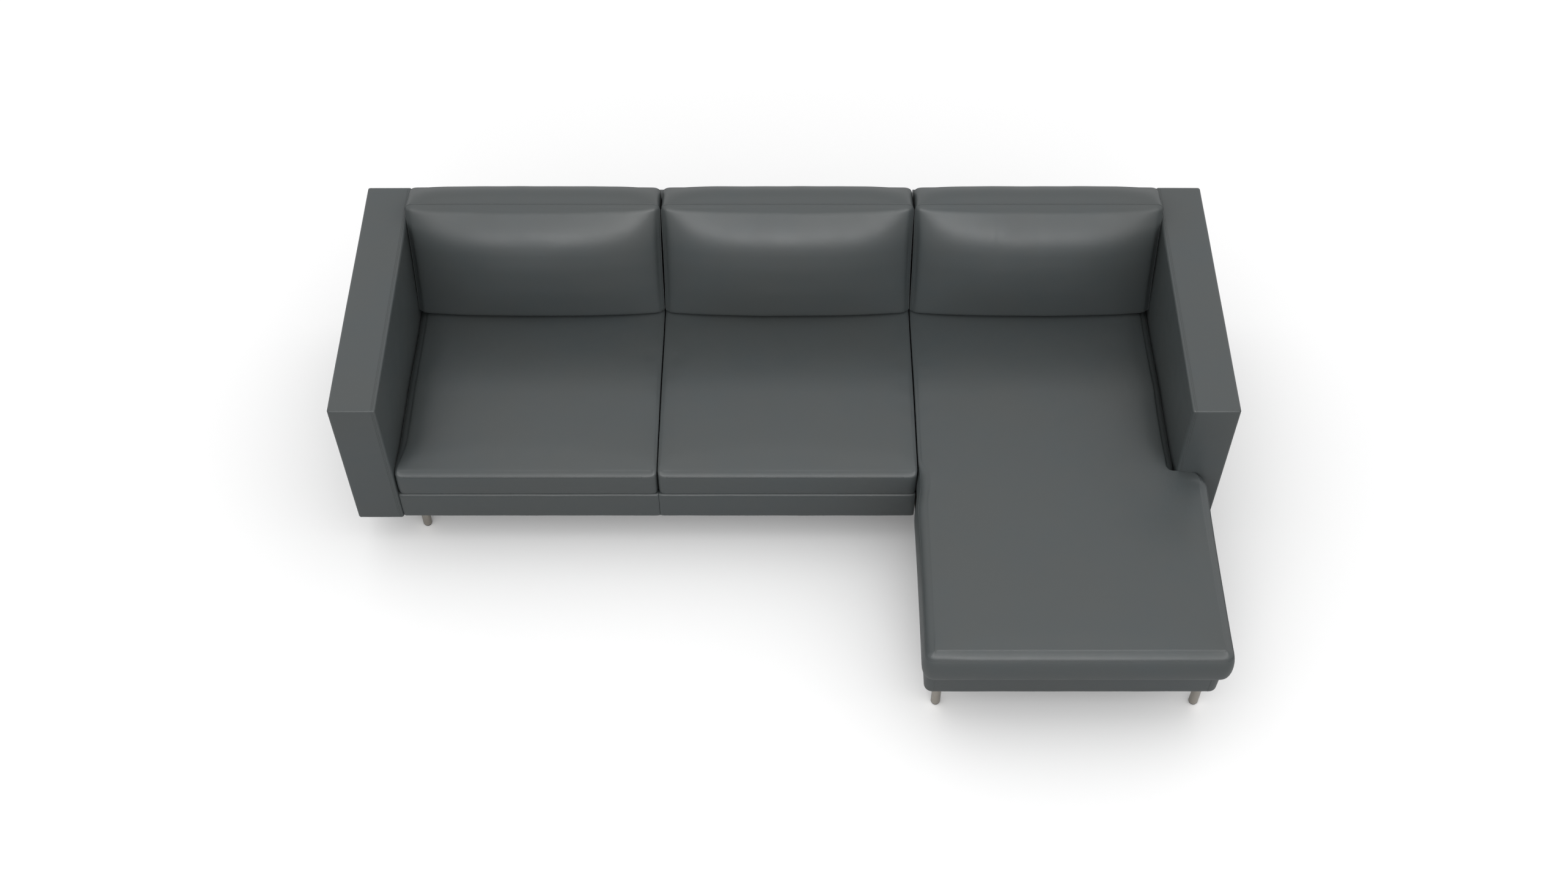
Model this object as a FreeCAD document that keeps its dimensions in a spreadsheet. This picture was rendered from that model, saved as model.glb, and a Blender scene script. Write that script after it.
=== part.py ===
"""Sectional sofa with a chaise: two modules hooked together, and six loose cushions.

The origin is the bottom centre of the whole sofa: X runs along the back,
Y points to the back and Z up. All sizes are in millimetres.
"""
import FreeCAD, Part
import math
import os
import Sketcher

Vector = FreeCAD.Vector

# Driving sizes: name, value, what it is
SIZES = [
    ("overall_width", 2667, "outside of one arm to outside of the other"),
    ("body_depth", 915, "front of an arm to the rear of the back"),
    ("arm_top", 666, "floor to the top of an arm"),
    ("arm_width", 141.5, "an arm over its cover"),
    ("leg_height", 127, "floor to the underside of the covers"),
    ("rail_height", 115, "underside of the covers to the seat deck"),
    ("chaise_reach", 626, "chaise base ahead of the arm fronts"),
    ("chaise_width", 860, "chaise base over its cover"),
    ("arm_step", 62, "chaise side inside the outside of its arm"),
    ("module_gap", 5, "between the two modules"),
    ("rail_setback", 5, "front rail cover behind the arm fronts"),
    ("left_seat_width", 804, "left arm to the gap between the seat cushions"),
    ("back_drop", 5, "top of the back below the arm tops"),
    ("back_top_depth", 49, "thickness of the back at its top"),
    ("back_lean", 13.1, "lean of the back in degrees"),
    ("rail_thickness", 18, "base rails"),
    ("board_thickness", 22, "boards on top of arms and backs"),
    ("panel_thickness", 12, "arm side panels"),
    ("post_thickness", 45, "arm and back posts, and the blocks' height"),
    ("stretcher_thickness", 25, "stretchers under the webbing"),
    ("stretcher_height", 60, "stretchers under the webbing"),
    ("cover_wall", 12, "padded leather on rails and backs"),
    ("leather_skin", 3, "arm covers, and covers turned under an edge"),
    ("arm_padding", 12, "foam between an arm's cover and its frame"),
    ("cover_flange", 24, "rail covers turned over the rails"),
    ("arm_round", 15, "rounding of the arm edges"),
    ("rail_round", 8, "rounding of the rail covers"),
    ("chaise_round", 24, "rounding of the chaise base corners"),
    ("back_round", 11, "rounding of the back's top edges"),
    ("block_width", 80, "leg and connector blocks"),
    ("leg_diameter", 28, "leg tube"),
    ("stud_diameter", 8, "leg stud and arm bolts"),
    ("stud_length", 36, "leg stud above its leg"),
    ("fit_gap", 0.5, "round clearance of studs, bolts and pins"),
    ("plate_thickness", 3, "leg plates and connector sockets"),
    ("plate_width", 60, "leg plates and connector sockets"),
    ("glide_height", 5, "plastic glide under a leg"),
    ("glide_inset", 1.5, "glide inside its leg's edge"),
    ("leg_side_inset", 48, "sofa leg centre inside the module's side"),
    ("leg_front_inset", 65, "front left leg centre behind the rail cover"),
    ("leg_set_back", 165, "front right leg centre behind the rail cover"),
    ("leg_rear_inset", 70, "rear leg centres ahead of the rear"),
    ("chaise_leg_inset", 43, "chaise leg centres inside the base"),
    ("dust_thickness", 1.5, "dust cover"),
    ("strap_width", 60, "webbing strap"),
    ("strap_thickness", 2, "webbing strap"),
    ("strap_pitch", 148, "webbing straps, least distance between centres"),
    ("tongue_thickness", 4, "connector tongue"),
    ("tongue_width", 50, "connector tongue"),
    ("tongue_tail", 62, "tongue length under the sofa module"),
    ("tongue_reach", 84, "tongue length past the sofa module"),
    ("pin_reach", 61, "pin centre past the sofa module"),
    ("pin_diameter", 11, "connector pin"),
    ("pin_height", 26, "connector pin above its tongue"),
    ("connector_front", 250, "front connector behind the arm fronts"),
    ("connector_rear", 120, "rear connector ahead of the rear rail"),
    ("bolt_head", 13, "arm bolt head"),
    ("bolt_head_height", 6, "arm bolt head"),
    ("bolt_grip", 6, "arm bolt past the panel it holds"),
    ("bolt_front", 190, "front arm bolt behind the arm front"),
    ("bolt_rear", 140, "rear arm bolt ahead of the rear rail"),
    ("bolt_rise", 70, "arm bolts above the underside of the covers"),
    ("rest_gap", 0.3, "soft piece clear of what it rests on"),
    ("side_gap", 0.8, "cushion clear of what is beside it"),
    ("seat_setback", 9, "seat cushion seam behind the arm fronts"),
    ("seat_boxing", 92, "height of a seat cushion at its seams"),
    ("seat_crown", 30, "seat cushion crown above its seams"),
    ("seat_edge_crown", 5, "crown at the ends of a cushion"),
    ("seat_puff", 6, "seat cushion front beyond its seams"),
    ("seam_rise", 1.5, "top panel of a cushion above its seam line"),
    ("seat_corner", 34, "corner radius of a seat cushion"),
    ("seat_pull", 5, "drawn-in sides of a cushion"),
    ("chaise_overhang", 30, "chaise cushion front beyond its base"),
    ("chaise_left_overhang", 13, "chaise cushion left beyond its base"),
    ("chaise_right_overhang", 19, "chaise cushion right beyond its base"),
    ("chaise_corner", 52, "front corner radius of the chaise cushion"),
    ("chaise_fold", 9, "inner corner of the chaise cushion at the arm"),
    ("core_margin", 20, "foam core inside a cushion's seams"),
    ("back_boxing", 105, "thickness of a back cushion at its seams"),
    ("back_crown", 55, "back cushion crown ahead of its seams"),
    ("back_edge_crown", 9, "crown at the sides of a back cushion"),
    ("back_puff", 24, "back cushion top beyond its seams"),
    ("back_corner", 30, "corner radius of a back cushion"),
    ("back_rise", 49, "back cushion rear seam above the back"),
    ("back_panel", 486, "length of a back cushion's face"),
]

# Worked-out places: name, formula over the sizes
PLACES = [
    ("half_width", "Sizes.overall_width / 2"),
    ("arm_in", "Sizes.overall_width / 2 - Sizes.arm_width"),
    ("back_y", "(Sizes.body_depth + Sizes.chaise_reach + Sizes.chaise_overhang) / 2"),
    ("front_y", "back_y - Sizes.body_depth"),
    ("chaise_y", "front_y - Sizes.chaise_reach"),
    ("rail_y", "front_y + Sizes.rail_setback"),
    ("chaise_right", "half_width - Sizes.arm_step"),
    ("chaise_left", "chaise_right - Sizes.chaise_width"),
    ("module_x", "chaise_left - Sizes.module_gap"),
    ("seat_split", "Sizes.left_seat_width - arm_in"),
    ("seat_end", "(module_x + chaise_left) / 2"),
    ("deck_z", "Sizes.leg_height + Sizes.rail_height"),
    ("wood_z", "Sizes.leg_height + Sizes.plate_thickness"),
    ("rail_top", "deck_z - Sizes.cover_wall"),
    ("block_top", "wood_z + Sizes.post_thickness"),
    ("back_top", "Sizes.arm_top - Sizes.back_drop"),
    ("back_top_y", "back_y - Sizes.back_top_depth"),
    ("back_foot_y", "back_top_y - (back_top - deck_z) * tan(Sizes.back_lean * 1deg)"),
    ("rear_rail_y", "back_foot_y - Sizes.rail_thickness"),
    ("rail_in_y", "rail_y + Sizes.cover_wall + Sizes.rail_thickness"),
    ("chaise_rail_in_y", "chaise_y + Sizes.cover_wall + Sizes.rail_thickness"),
    ("seat_z", "deck_z + Sizes.rest_gap"),
    ("seam_z", "seat_z + Sizes.seat_boxing + Sizes.seam_rise"),
]

# Sides of the small hardware that the covers hide, and of the glides
HARDWARE_SIDES = 12
GLIDE_SIDES = 18
# The crown of a cushion is ruled between this many arches and one more
CROWN_STRIPS = 6
# Heights of a cushion's side outlines, as shares of its boxing
SIDE_SHARES = (0, 0.2, 0.5, 0.8, 1)
# A side that meets nothing to draw it in
STRAIGHT = 0.01
# How far a cutting shape reaches past what it cuts, in millimetres
PAST = 25
# How far the rough sides of a cushion reach past its crown, in millimetres
CROWN_ROOM = 2
# Length of a strap's ramp, in strap thicknesses
RAMP = 3

document = FreeCAD.newDocument("Sofa")
sizes = document.addObject("Spreadsheet::Sheet", "Sizes")
for row, (name, number, note) in enumerate(SIZES, start=1):
    sizes.set("A%d" % row, name)
    sizes.set("B%d" % row, str(number))
    sizes.set("C%d" % row, note)
    sizes.setAlias("B%d" % row, name)
places = document.addObject("Spreadsheet::Sheet", "Places")
for row, (name, formula) in enumerate(PLACES, start=1):
    places.set("A%d" % row, name)
    places.set("B%d" % row, "=" + formula)
    places.setAlias("B%d" % row, name)
document.recompute()

parts = []


def value(expression):
    """The number that an expression over the two sheets gives now."""
    result = sizes.evalExpression(expression)
    return float(getattr(result, "Value", result))


def size(name):
    """A driving size, or a worked-out place, as a number."""
    sheet = sizes if sizes.getCellFromAlias(name) else places
    result = sheet.get(name)
    return float(getattr(result, "Value", result))


def bind(thing, **expressions):
    """Tie properties of an object to expressions over the sheets."""
    for prop, expression in expressions.items():
        thing.setExpression(prop, expression)


def locate(thing, x="0", y="0", z="0"):
    """Tie an object's position to expressions over the sheets."""
    for axis, expression in zip("xyz", (x, y, z)):
        thing.setExpression("Placement.Base." + axis, expression)


def keep(thing, name):
    """Name a finished piece and list it for export."""
    thing.Label = name
    parts.append(thing)
    return thing


def board(x, y, z, label="board"):
    """A box between pairs of expressions."""
    box = document.addObject("Part::Box", label)
    bind(box, Length="(%s) - (%s)" % (x[1], x[0]),
         Width="(%s) - (%s)" % (y[1], y[0]),
         Height="(%s) - (%s)" % (z[1], z[0]))
    locate(box, x[0], y[0], z[0])
    return box


def rod(diameter, length, x, y, z, along="z", sides=HARDWARE_SIDES):
    """A rod of many flats that starts at a point and runs along X or Z."""
    prism_rod = document.addObject("Part::Prism", "rod")
    prism_rod.Polygon = sides
    bind(prism_rod, Circumradius="(%s) / 2" % diameter, Height=length)
    if along == "x":
        prism_rod.Placement.Rotation = FreeCAD.Rotation(Vector(0, 1, 0), 90)
    locate(prism_rod, x, y, z)
    return prism_rod


def group(members, label="group"):
    """Separate solids that share one node."""
    compound = document.addObject("Part::Compound", label)
    compound.Links = members
    return compound


def cut(base, tool, label="cut"):
    """A piece less the space of another."""
    result = document.addObject("Part::Cut", label)
    result.Base = base
    result.Tool = tool
    return result


def origin_plane(body, role):
    """One of a body's own origin planes."""
    return [plane for plane in body.Origin.OriginFeatures if plane.Role == role][0]


def sketch_on(body, role, offset):
    """An empty sketch on an origin plane of its body, moved along its normal."""
    sketch = body.newObject("Sketcher::SketchObject", body.Name + "Sketch")
    sketch.AttachmentSupport = [(origin_plane(body, role), "")]
    sketch.MapMode = "FlatFace"
    sketch.setExpression("AttachmentOffset.Base.z", offset)
    return sketch


def fix_point(sketch, index, end, x, y):
    """Tie one point of a sketch to expressions over the sheets."""
    for kind, expression in (("DistanceX", x), ("DistanceY", y)):
        constraint = Sketcher.Constraint(kind, -1, 1, index, end, value(expression))
        number = sketch.addConstraint(constraint)
        sketch.setExpression("Constraints[%d]" % number, expression)


def polygon(body, role, points, offset="0"):
    """A closed outline whose corners are tied to the sheets."""
    sketch = sketch_on(body, role, offset)
    corners = [Vector(value(x), value(y), 0) for x, y in points]
    count = len(corners)
    for index in range(count):
        edge = Part.LineSegment(corners[index], corners[(index + 1) % count])
        sketch.addGeometry(edge, False)
    for index in range(count):
        sketch.addConstraint(Sketcher.Constraint("Coincident", index, 2, (index + 1) % count, 1))
    for index, (x, y) in enumerate(points):
        fix_point(sketch, index, 1, x, y)
    return sketch


def circle(body, role, x, y, diameter, offset="0"):
    """A round outline whose centre and size are tied to the sheets."""
    sketch = sketch_on(body, role, offset)
    centre = Vector(value(x), value(y), 0)
    sketch.addGeometry(Part.Circle(centre, Vector(0, 0, 1), value(diameter) / 2), False)
    fix_point(sketch, 0, 3, x, y)
    number = sketch.addConstraint(Sketcher.Constraint("Diameter", 0, value(diameter)))
    sketch.setExpression("Constraints[%d]" % number, diameter)
    return sketch


def rod_section(body, x, y, diameter, offset):
    """The section of a rod along Z, as a sketch tied to the sheets."""
    turn = 360 / HARDWARE_SIDES
    points = [("%s + %s / 2 * cos(%gdeg)" % (x, diameter, turn * side),
               "%s + %s / 2 * sin(%gdeg)" % (y, diameter, turn * side))
              for side in range(HARDWARE_SIDES)]
    return polygon(body, "XY_Plane", points, offset)


def pad(body, sketch, length):
    """Add material from a sketch."""
    feature = body.newObject("PartDesign::Pad", body.Name + "Pad")
    feature.Profile = sketch
    feature.setExpression("Length", length)
    body.Tip = feature
    document.recompute()
    return feature


def pocket(body, sketch, length):
    """Take material away along a sketch's normal, and make sure that some went."""
    before = body.Shape.Volume
    feature = body.newObject("PartDesign::Pocket", body.Name + "Pocket")
    feature.Profile = sketch
    feature.Reversed = True
    feature.setExpression("Length", length)
    body.Tip = feature
    document.recompute()
    if body.Shape.Volume > before * 0.9999:
        raise RuntimeError(body.Name + ": a pocket cut nothing")
    return feature


def ease_edges(body, amount, kind, chosen):
    """Fillet or chamfer the edges of a body's tip that a test picks by their boxes."""
    tip = body.Tip
    names = ["Edge%d" % (number + 1) for number, edge in enumerate(tip.Shape.Edges)
             if chosen(edge.BoundBox)]
    feature = body.newObject("PartDesign::" + kind, body.Name + kind)
    feature.Base = (tip, names)
    feature.setExpression({"Fillet": "Radius", "Chamfer": "Size"}[kind], amount)
    body.Tip = feature
    document.recompute()
    return feature


def prism(name, role, points, start, length):
    """A body padded from one closed outline."""
    body = document.addObject("PartDesign::Body", name)
    pad(body, polygon(body, role, points, start), length)
    return body


def near(a, b):
    """True where two coordinates agree."""
    return abs(a - b) < 0.01


def soft_block(name, x, y, z, size_of_edge, kind="Fillet"):
    """A block between pairs of expressions, its edges eased everywhere but underneath."""
    corners = [(x[0], y[0]), (x[1], y[0]), (x[1], y[1]), (x[0], y[1])]
    body = prism(name, "XY_Plane", corners, z[0], "(%s) - (%s)" % (z[1], z[0]))
    under = value(z[0])
    ease_edges(body, size_of_edge, kind,
               lambda box: not (near(box.ZMin, under) and near(box.ZMax, under)))
    return body


def leg(name, x, y):
    """A round leg with its stud, standing on a glide."""
    body = document.addObject("PartDesign::Body", name)
    pad(body, circle(body, "XY_Plane", "0", "0", "Sizes.leg_diameter", "Sizes.glide_height"),
        "Sizes.leg_height - Sizes.glide_height")
    pad(body, rod_section(body, "0", "0", "Sizes.stud_diameter", "Sizes.leg_height"),
        "Sizes.stud_length")
    locate(body, x, y)
    document.recompute()
    return keep(body, name)


def glides(name, spots):
    """A plastic glide under each leg."""
    width = "Sizes.leg_diameter - 2 * Sizes.glide_inset"
    pads = [rod(width, "Sizes.glide_height", x, y, "0", sides=GLIDE_SIDES) for x, y in spots]
    return keep(group(pads), name)


def square_plate(x, y, hole):
    """A square steel plate with a round hole, let into the underside."""
    half = "Sizes.plate_width / 2"
    low, high = "Sizes.leg_height", "Places.wood_z"
    plate = board(("%s - %s" % (x, half), "%s + %s" % (x, half)),
                  ("%s - %s" % (y, half), "%s + %s" % (y, half)), (low, high))
    return cut(plate, rod(hole, "2 * Sizes.plate_thickness", x, y,
                          "Sizes.leg_height - Sizes.plate_thickness / 2"))


STUD_HOLE = "Sizes.stud_diameter + 2 * Sizes.fit_gap"
PIN_HOLE = "Sizes.pin_diameter + 2 * Sizes.fit_gap"


def leg_plates(name, spots):
    """The plates that the legs screw into."""
    return keep(group([square_plate(x, y, STUD_HOLE) for x, y in spots]), name)


def stud_holes(spots, hole=STUD_HOLE):
    """Round holes up into the wood, one above each spot."""
    return group([rod(hole, "Sizes.post_thickness - Sizes.fit_gap", x, y, "Places.wood_z")
                  for x, y in spots])


def plate_recesses(spots):
    """Square openings round each plate, for the thin covers underneath."""
    half = "(Sizes.plate_width / 2 + Sizes.fit_gap)"
    return group([board(("%s - %s" % (x, half), "%s + %s" % (x, half)),
                        ("%s - %s" % (y, half), "%s + %s" % (y, half)),
                        ("Sizes.leg_height - Sizes.plate_thickness", "Places.wood_z"))
                  for x, y in spots])


def bolt_spots():
    """Where the two bolts of an arm run, as Y and Z."""
    front = "Places.front_y + Sizes.bolt_front"
    height = "Sizes.leg_height + Sizes.bolt_rise"
    return [(front, height), ("Places.rear_rail_y - Sizes.bolt_rear", height)]


BOLT_LENGTH = ("(Sizes.rail_thickness + Sizes.leather_skin + Sizes.arm_padding"
               " + Sizes.panel_thickness + Sizes.bolt_grip)")


def arm(side, sign):
    """One arm: boards, posts, side panels, padding, cover and bolts. The sign is its side of X."""
    outer, inner = sign + "Places.half_width", sign + "Places.arm_in"
    low_x, high_x = (outer, inner) if sign == "-" else (inner, outer)
    skin, padding = "Sizes.leather_skin", "(Sizes.leather_skin + Sizes.arm_padding)"
    y = ("Places.front_y", "Places.back_y")
    holes = []
    for spot_y, spot_z in bolt_spots():
        start = inner + " - Sizes.rail_thickness"
        if sign == "-":
            start = inner + " + Sizes.rail_thickness - " + BOLT_LENGTH
        holes.append(rod(STUD_HOLE, BOLT_LENGTH, start, spot_y, spot_z, "x"))
    hole_tool = group(holes, side + "ArmHoles")

    def shell_box(inset, top_inset):
        return ((low_x + " + " + inset, high_x + " - " + inset),
                (y[0] + " + " + inset, y[1] + " - " + inset),
                ("Sizes.leg_height", "Sizes.arm_top - " + top_inset))

    outside = soft_block(side + "ArmOutside", *shell_box("0", "0"), "Sizes.arm_round")
    inside = soft_block(side + "ArmInside", *shell_box(skin, skin),
                        "Sizes.arm_round - Sizes.leather_skin", "Chamfer")
    keep(cut(cut(outside, inside), hole_tool), side + "_arm_cover")
    foam = cut(inside, board(*shell_box(padding, padding)))
    keep(cut(foam, hole_tool), side + "_arm_padding")

    x, core_y, core_z = shell_box(padding, padding)
    core_z = ("Places.wood_z", core_z[1])
    top = core_z[1] + " - Sizes.board_thickness"
    bottom = "Places.block_top"
    keep(group([board(x, core_y, (top, core_z[1])), board(x, core_y, (core_z[0], bottom))]),
         side + "_arm_boards")
    panel = "Sizes.panel_thickness"
    sides = [board((x[0], x[0] + " + " + panel), core_y, (bottom, top)),
             board((x[1] + " - " + panel, x[1]), core_y, (bottom, top))]
    keep(cut(group(sides), hole_tool), side + "_arm_panels")
    post_x = (x[0] + " + " + panel, x[1] + " - " + panel)
    post = "Sizes.post_thickness"
    keep(group([board(post_x, (core_y[0], core_y[0] + " + " + post), (bottom, top)),
                board(post_x, (core_y[1] + " - " + post, core_y[1]), (bottom, top))]),
         side + "_arm_posts")

    bolts = []
    for spot_y, spot_z in bolt_spots():
        if sign == "-":
            shank_x = inner + " + Sizes.rail_thickness - " + BOLT_LENGTH
            head_x = inner + " + Sizes.rail_thickness"
        else:
            shank_x = inner + " - Sizes.rail_thickness"
            head_x = shank_x + " - Sizes.bolt_head_height"
        shank = rod("Sizes.stud_diameter", BOLT_LENGTH, shank_x, spot_y, spot_z, "x")
        head = rod("Sizes.bolt_head", "Sizes.bolt_head_height", head_x, spot_y, spot_z, "x", 6)
        bolt = document.addObject("Part::Fuse", side + "ArmBolt")
        bolt.Base = shank
        bolt.Tool = head
        bolts.append(bolt)
    keep(group(bolts), side + "_arm_bolts")
    return hole_tool


def rake_y(height, inset="0"):
    """Front face of the back at a height, as an expression."""
    return ("(Places.back_top_y - (Places.back_top - (%s)) * tan(Sizes.back_lean * 1deg) + %s)"
            % (height, inset))


def back(module, x, studs):
    """One back: a raked padded cover over posts and boards."""
    wall = "Sizes.cover_wall"
    low, deck, top = "Sizes.leg_height", "Places.deck_z", "Places.back_top"
    profile = [("Places.back_foot_y", low), ("Places.back_foot_y", deck),
               ("Places.back_top_y", top), ("Places.back_y", top), ("Places.back_y", low)]
    cover = document.addObject("PartDesign::Body", module + "BackShell")
    pad(cover, polygon(cover, "YZ_Plane", profile, x[0]), "(%s) - (%s)" % (x[1], x[0]))
    top_z = size("back_top")
    ease_edges(cover, "Sizes.back_round", "Fillet",
               lambda box: near(box.ZMin, top_z) and near(box.ZMax, top_z) and box.XLength > 1)
    core_top = top + " - " + wall
    foot_in, rear_in = "Places.back_foot_y + " + wall, "Places.back_y - " + wall
    hollow = [(foot_in, low), (foot_in, deck), (rake_y(core_top, wall), core_top),
              (rear_in, core_top), (rear_in, low)]
    core_x = (x[0] + " + Sizes.leather_skin", x[1] + " - Sizes.leather_skin")
    pocket(cover, polygon(cover, "YZ_Plane", hollow, core_x[0]),
           "(%s) - (%s)" % (core_x[1], core_x[0]))
    keep(cover, module + "_back_cover")

    post_top = core_top + " - Sizes.board_thickness"
    cap = prism(module + "BackCap", "YZ_Plane",
                [(rake_y(post_top, wall), post_top), (rake_y(core_top, wall), core_top),
                 (rear_in, core_top), (rear_in, post_top)],
                core_x[0], "(%s) - (%s)" % (core_x[1], core_x[0]))
    sill = cut(board(core_x, (foot_in, rear_in), ("Places.wood_z", "Places.block_top")), studs)
    keep(group([cap, sill]), module + "_back_boards")
    outline = [(foot_in, "Places.block_top"), (foot_in, deck), (rake_y(post_top, wall), post_top),
               (rear_in, post_top), (rear_in, "Places.block_top")]
    post = "Sizes.post_thickness"
    middle = "((%s) + (%s)) / 2 - %s / 2" % (core_x[0], core_x[1], post)
    starts = [core_x[0], middle, core_x[1] + " - " + post]
    posts = [prism(module + "BackPost%d" % number, "YZ_Plane", outline, start, post)
             for number, start in enumerate(starts)]
    keep(group(posts), module + "_back_posts")


def straps_between(low, high):
    """Strap centres spread evenly over a span, as numbers."""
    width, pitch = size("strap_width"), size("strap_pitch")
    room = high - low - width
    count = max(2, int(room // pitch))
    step = room / count
    return [low + width / 2 + step * (number + 0.5) for number in range(count)]


def woven_strap(start, end, crossings, first_over, section):
    """A strap that goes over and under the ones it crosses, as a solid along X."""
    thick, half = size("strap_thickness"), size("strap_width") / 2
    level = size("rail_top")
    ramp = thick * RAMP
    path = [(start, level), (crossings[0] - half - 2 * ramp, level)]
    over = first_over
    for centre in crossings:
        height = level + thick if over else level - thick
        path.append((centre - half - ramp / 3, height))
        path.append((centre + half + ramp / 3, height))
        over = not over
    path += [(crossings[-1] + half + 2 * ramp, level), (end, level)]
    under_side = [Vector(x, section - half, z) for x, z in path]
    upper_side = [Vector(x, section - half, z + thick) for x, z in reversed(path)]
    outline = Part.makePolygon(under_side + upper_side + [under_side[0]])
    return Part.Face(outline).extrude(Vector(0, 2 * half, 0))


def webbing(name, x, y):
    """Elastic straps front to back, with straps woven across them."""
    thick, half = size("strap_thickness"), size("strap_width") / 2
    level = size("rail_top")
    long_ones = straps_between(x[0] + size("rail_thickness"), x[1] - size("rail_thickness"))
    cross_ones = straps_between(y[0] + size("rail_thickness"), y[1] - size("rail_thickness"))
    solids = [Part.makeBox(2 * half, y[1] - y[0], thick, Vector(centre - half, y[0], level))
              for centre in long_ones]
    for number, section in enumerate(cross_ones):
        solids.append(woven_strap(x[0], x[1], long_ones, number % 2 == 0, section))
    feature = document.addObject("Part::Feature", name)
    feature.Shape = Part.makeCompound(solids)
    feature.Placement = FreeCAD.Placement()
    return keep(feature, name)


def arc(a, b, c):
    """An arc through three points."""
    return Part.Arc(a, b, c).toShape()


def line(a, b):
    """A straight edge."""
    return Part.makeLine(a, b)


def rounded_outline(corners, radii, pulls, z):
    """A closed outline of arcs: rounded corners, with each side drawn in by its pull.

    Each radius is the length that its corner's arc takes off both sides, and side
    number n runs from corner n to corner n + 1.
    """
    count = len(corners)
    points = [Vector(x, y, z) for x, y in corners]
    edges = []
    for index in range(count):
        before, here = points[index - 1], points[index]
        after, later = points[(index + 1) % count], points[(index + 2) % count]
        radius, next_radius = radii[index], radii[(index + 1) % count]
        back_way, on_way = (before - here).normalize(), (after - here).normalize()
        start, end = here + back_way * radius, here + on_way * radius
        half = back_way.getAngle(on_way) / 2
        bisector = (back_way + on_way).normalize()
        middle = here + bisector * radius * (1 - math.sin(half)) / math.cos(half)
        edges.append(arc(start, middle, end))
        side_end = after - on_way * next_radius
        inward = Vector(-on_way.y, on_way.x, 0)
        halfway = (end + side_end) * 0.5 + inward * pulls[index]
        edges.append(arc(end, halfway, side_end))
    return Part.Wire(edges)


def crown_wire(x, depth, crown_end, base, height):
    """Side view of a cushion's crown at one place across it."""
    rear = depth + PAST
    points = [Vector(x, crown_end, base), Vector(x, rear, base), Vector(x, rear, -PAST),
              Vector(x, -PAST, -PAST), Vector(x, -PAST, base), Vector(x, 0, base)]
    edges = [line(here, there) for here, there in zip(points, points[1:])]
    edges.append(arc(points[-1], Vector(x, crown_end / 2, base + height), points[0]))
    return Part.Wire(edges)


def cushion_shape(outline, x_low, x_high, depth, boxing, crown, edge_crown, crown_end):
    """A boxed cushion with a crown on top. outline(z share) gives the wire at a height."""
    rings = [outline(share) for share in SIDE_SHARES]
    rings.append(outline(1))
    rings[-1].translate(Vector(0, 0, crown + CROWN_ROOM))
    sides = Part.makeLoft(rings, True, True)
    level = boxing + size("seam_rise")
    middle, half = (x_low + x_high) / 2, (x_high - x_low) / 2
    wires = []
    for number in range(CROWN_STRIPS + 1):
        along = 2 * number / CROWN_STRIPS - 1
        height = edge_crown + (crown - edge_crown) * (1 - along * along)
        wires.append(crown_wire(middle + half * along, depth, crown_end, level, height))
    arched = Part.makeLoft(wires, True, True)
    return sides.common(arched)


def rectangle_outline(width, depth, boxing, corner, pull, puff):
    """Outlines of a plain cushion: the front swells at half height."""
    def outline(share):
        swell = puff * 4 * share * (1 - share)
        corners = [(-width / 2, -swell), (width / 2, -swell), (width / 2, depth), (-width / 2, depth)]
        pulls = [pull / 3, pull, STRAIGHT, pull]
        return rounded_outline(corners, [corner] * 4, pulls, boxing * share)
    return outline


def soft(name, shape, x=0, y=0, z=0):
    """A formed soft piece at its place."""
    feature = document.addObject("Part::Feature", name)
    feature.Shape = shape
    feature.Placement = FreeCAD.Placement(Vector(x, y, z), FreeCAD.Rotation())
    return feature


def seat_cushion(name, x_low, x_high):
    """A seat cushion: a wadded leather cover round a foam core."""
    y_low = size("front_y") + size("seat_setback")
    width, depth = x_high - x_low, size("back_foot_y") - size("rest_gap") - y_low
    boxing, crown = size("seat_boxing"), size("seat_crown")
    # The seat is flat where the back cushion stands on it
    crown_end = back_stand_y() - size("back_crown") - y_low
    outline = rectangle_outline(width, depth, boxing, size("seat_corner"), size("seat_pull"),
                                size("seat_puff"))
    outside = cushion_shape(outline, -width / 2, width / 2, depth, boxing, crown,
                            size("seat_edge_crown"), crown_end)
    margin = size("core_margin")
    hollow = Part.makeBox(width - 2 * margin, depth - 2 * margin, boxing - margin,
                          Vector(-width / 2 + margin, margin, margin / 2))
    spot = ((x_low + x_high) / 2, y_low, size("seat_z"))
    keep(soft(name + "_cover", outside.cut(hollow), *spot), name + "_cover")
    keep(soft(name + "_core", hollow, *spot), name + "_core")


def chaise_plan(seam, inset):
    """Corners of the T-shaped chaise cushion, whose ear passes the front of the arm.

    The sides that stand free are drawn in by the seam, and the others by the inset.
    """
    gap, step = size("side_gap"), size("seat_corner")
    left_rear = size("seat_end") + gap + inset
    left_front = size("chaise_left") - size("chaise_left_overhang") + seam
    right_front = size("chaise_right") + size("chaise_right_overhang") - seam
    right_rear = size("arm_in") - gap - inset
    front = size("chaise_y") - size("chaise_overhang") + seam
    ear = size("front_y") - gap
    rear = size("back_foot_y") - size("rest_gap") - inset
    return [(left_front, front), (right_front, front), (right_front, ear - inset),
            (right_rear, ear - inset), (right_rear, rear), (left_rear, rear),
            (left_rear, ear - step), (left_front, ear - 3 * step)]


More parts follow.
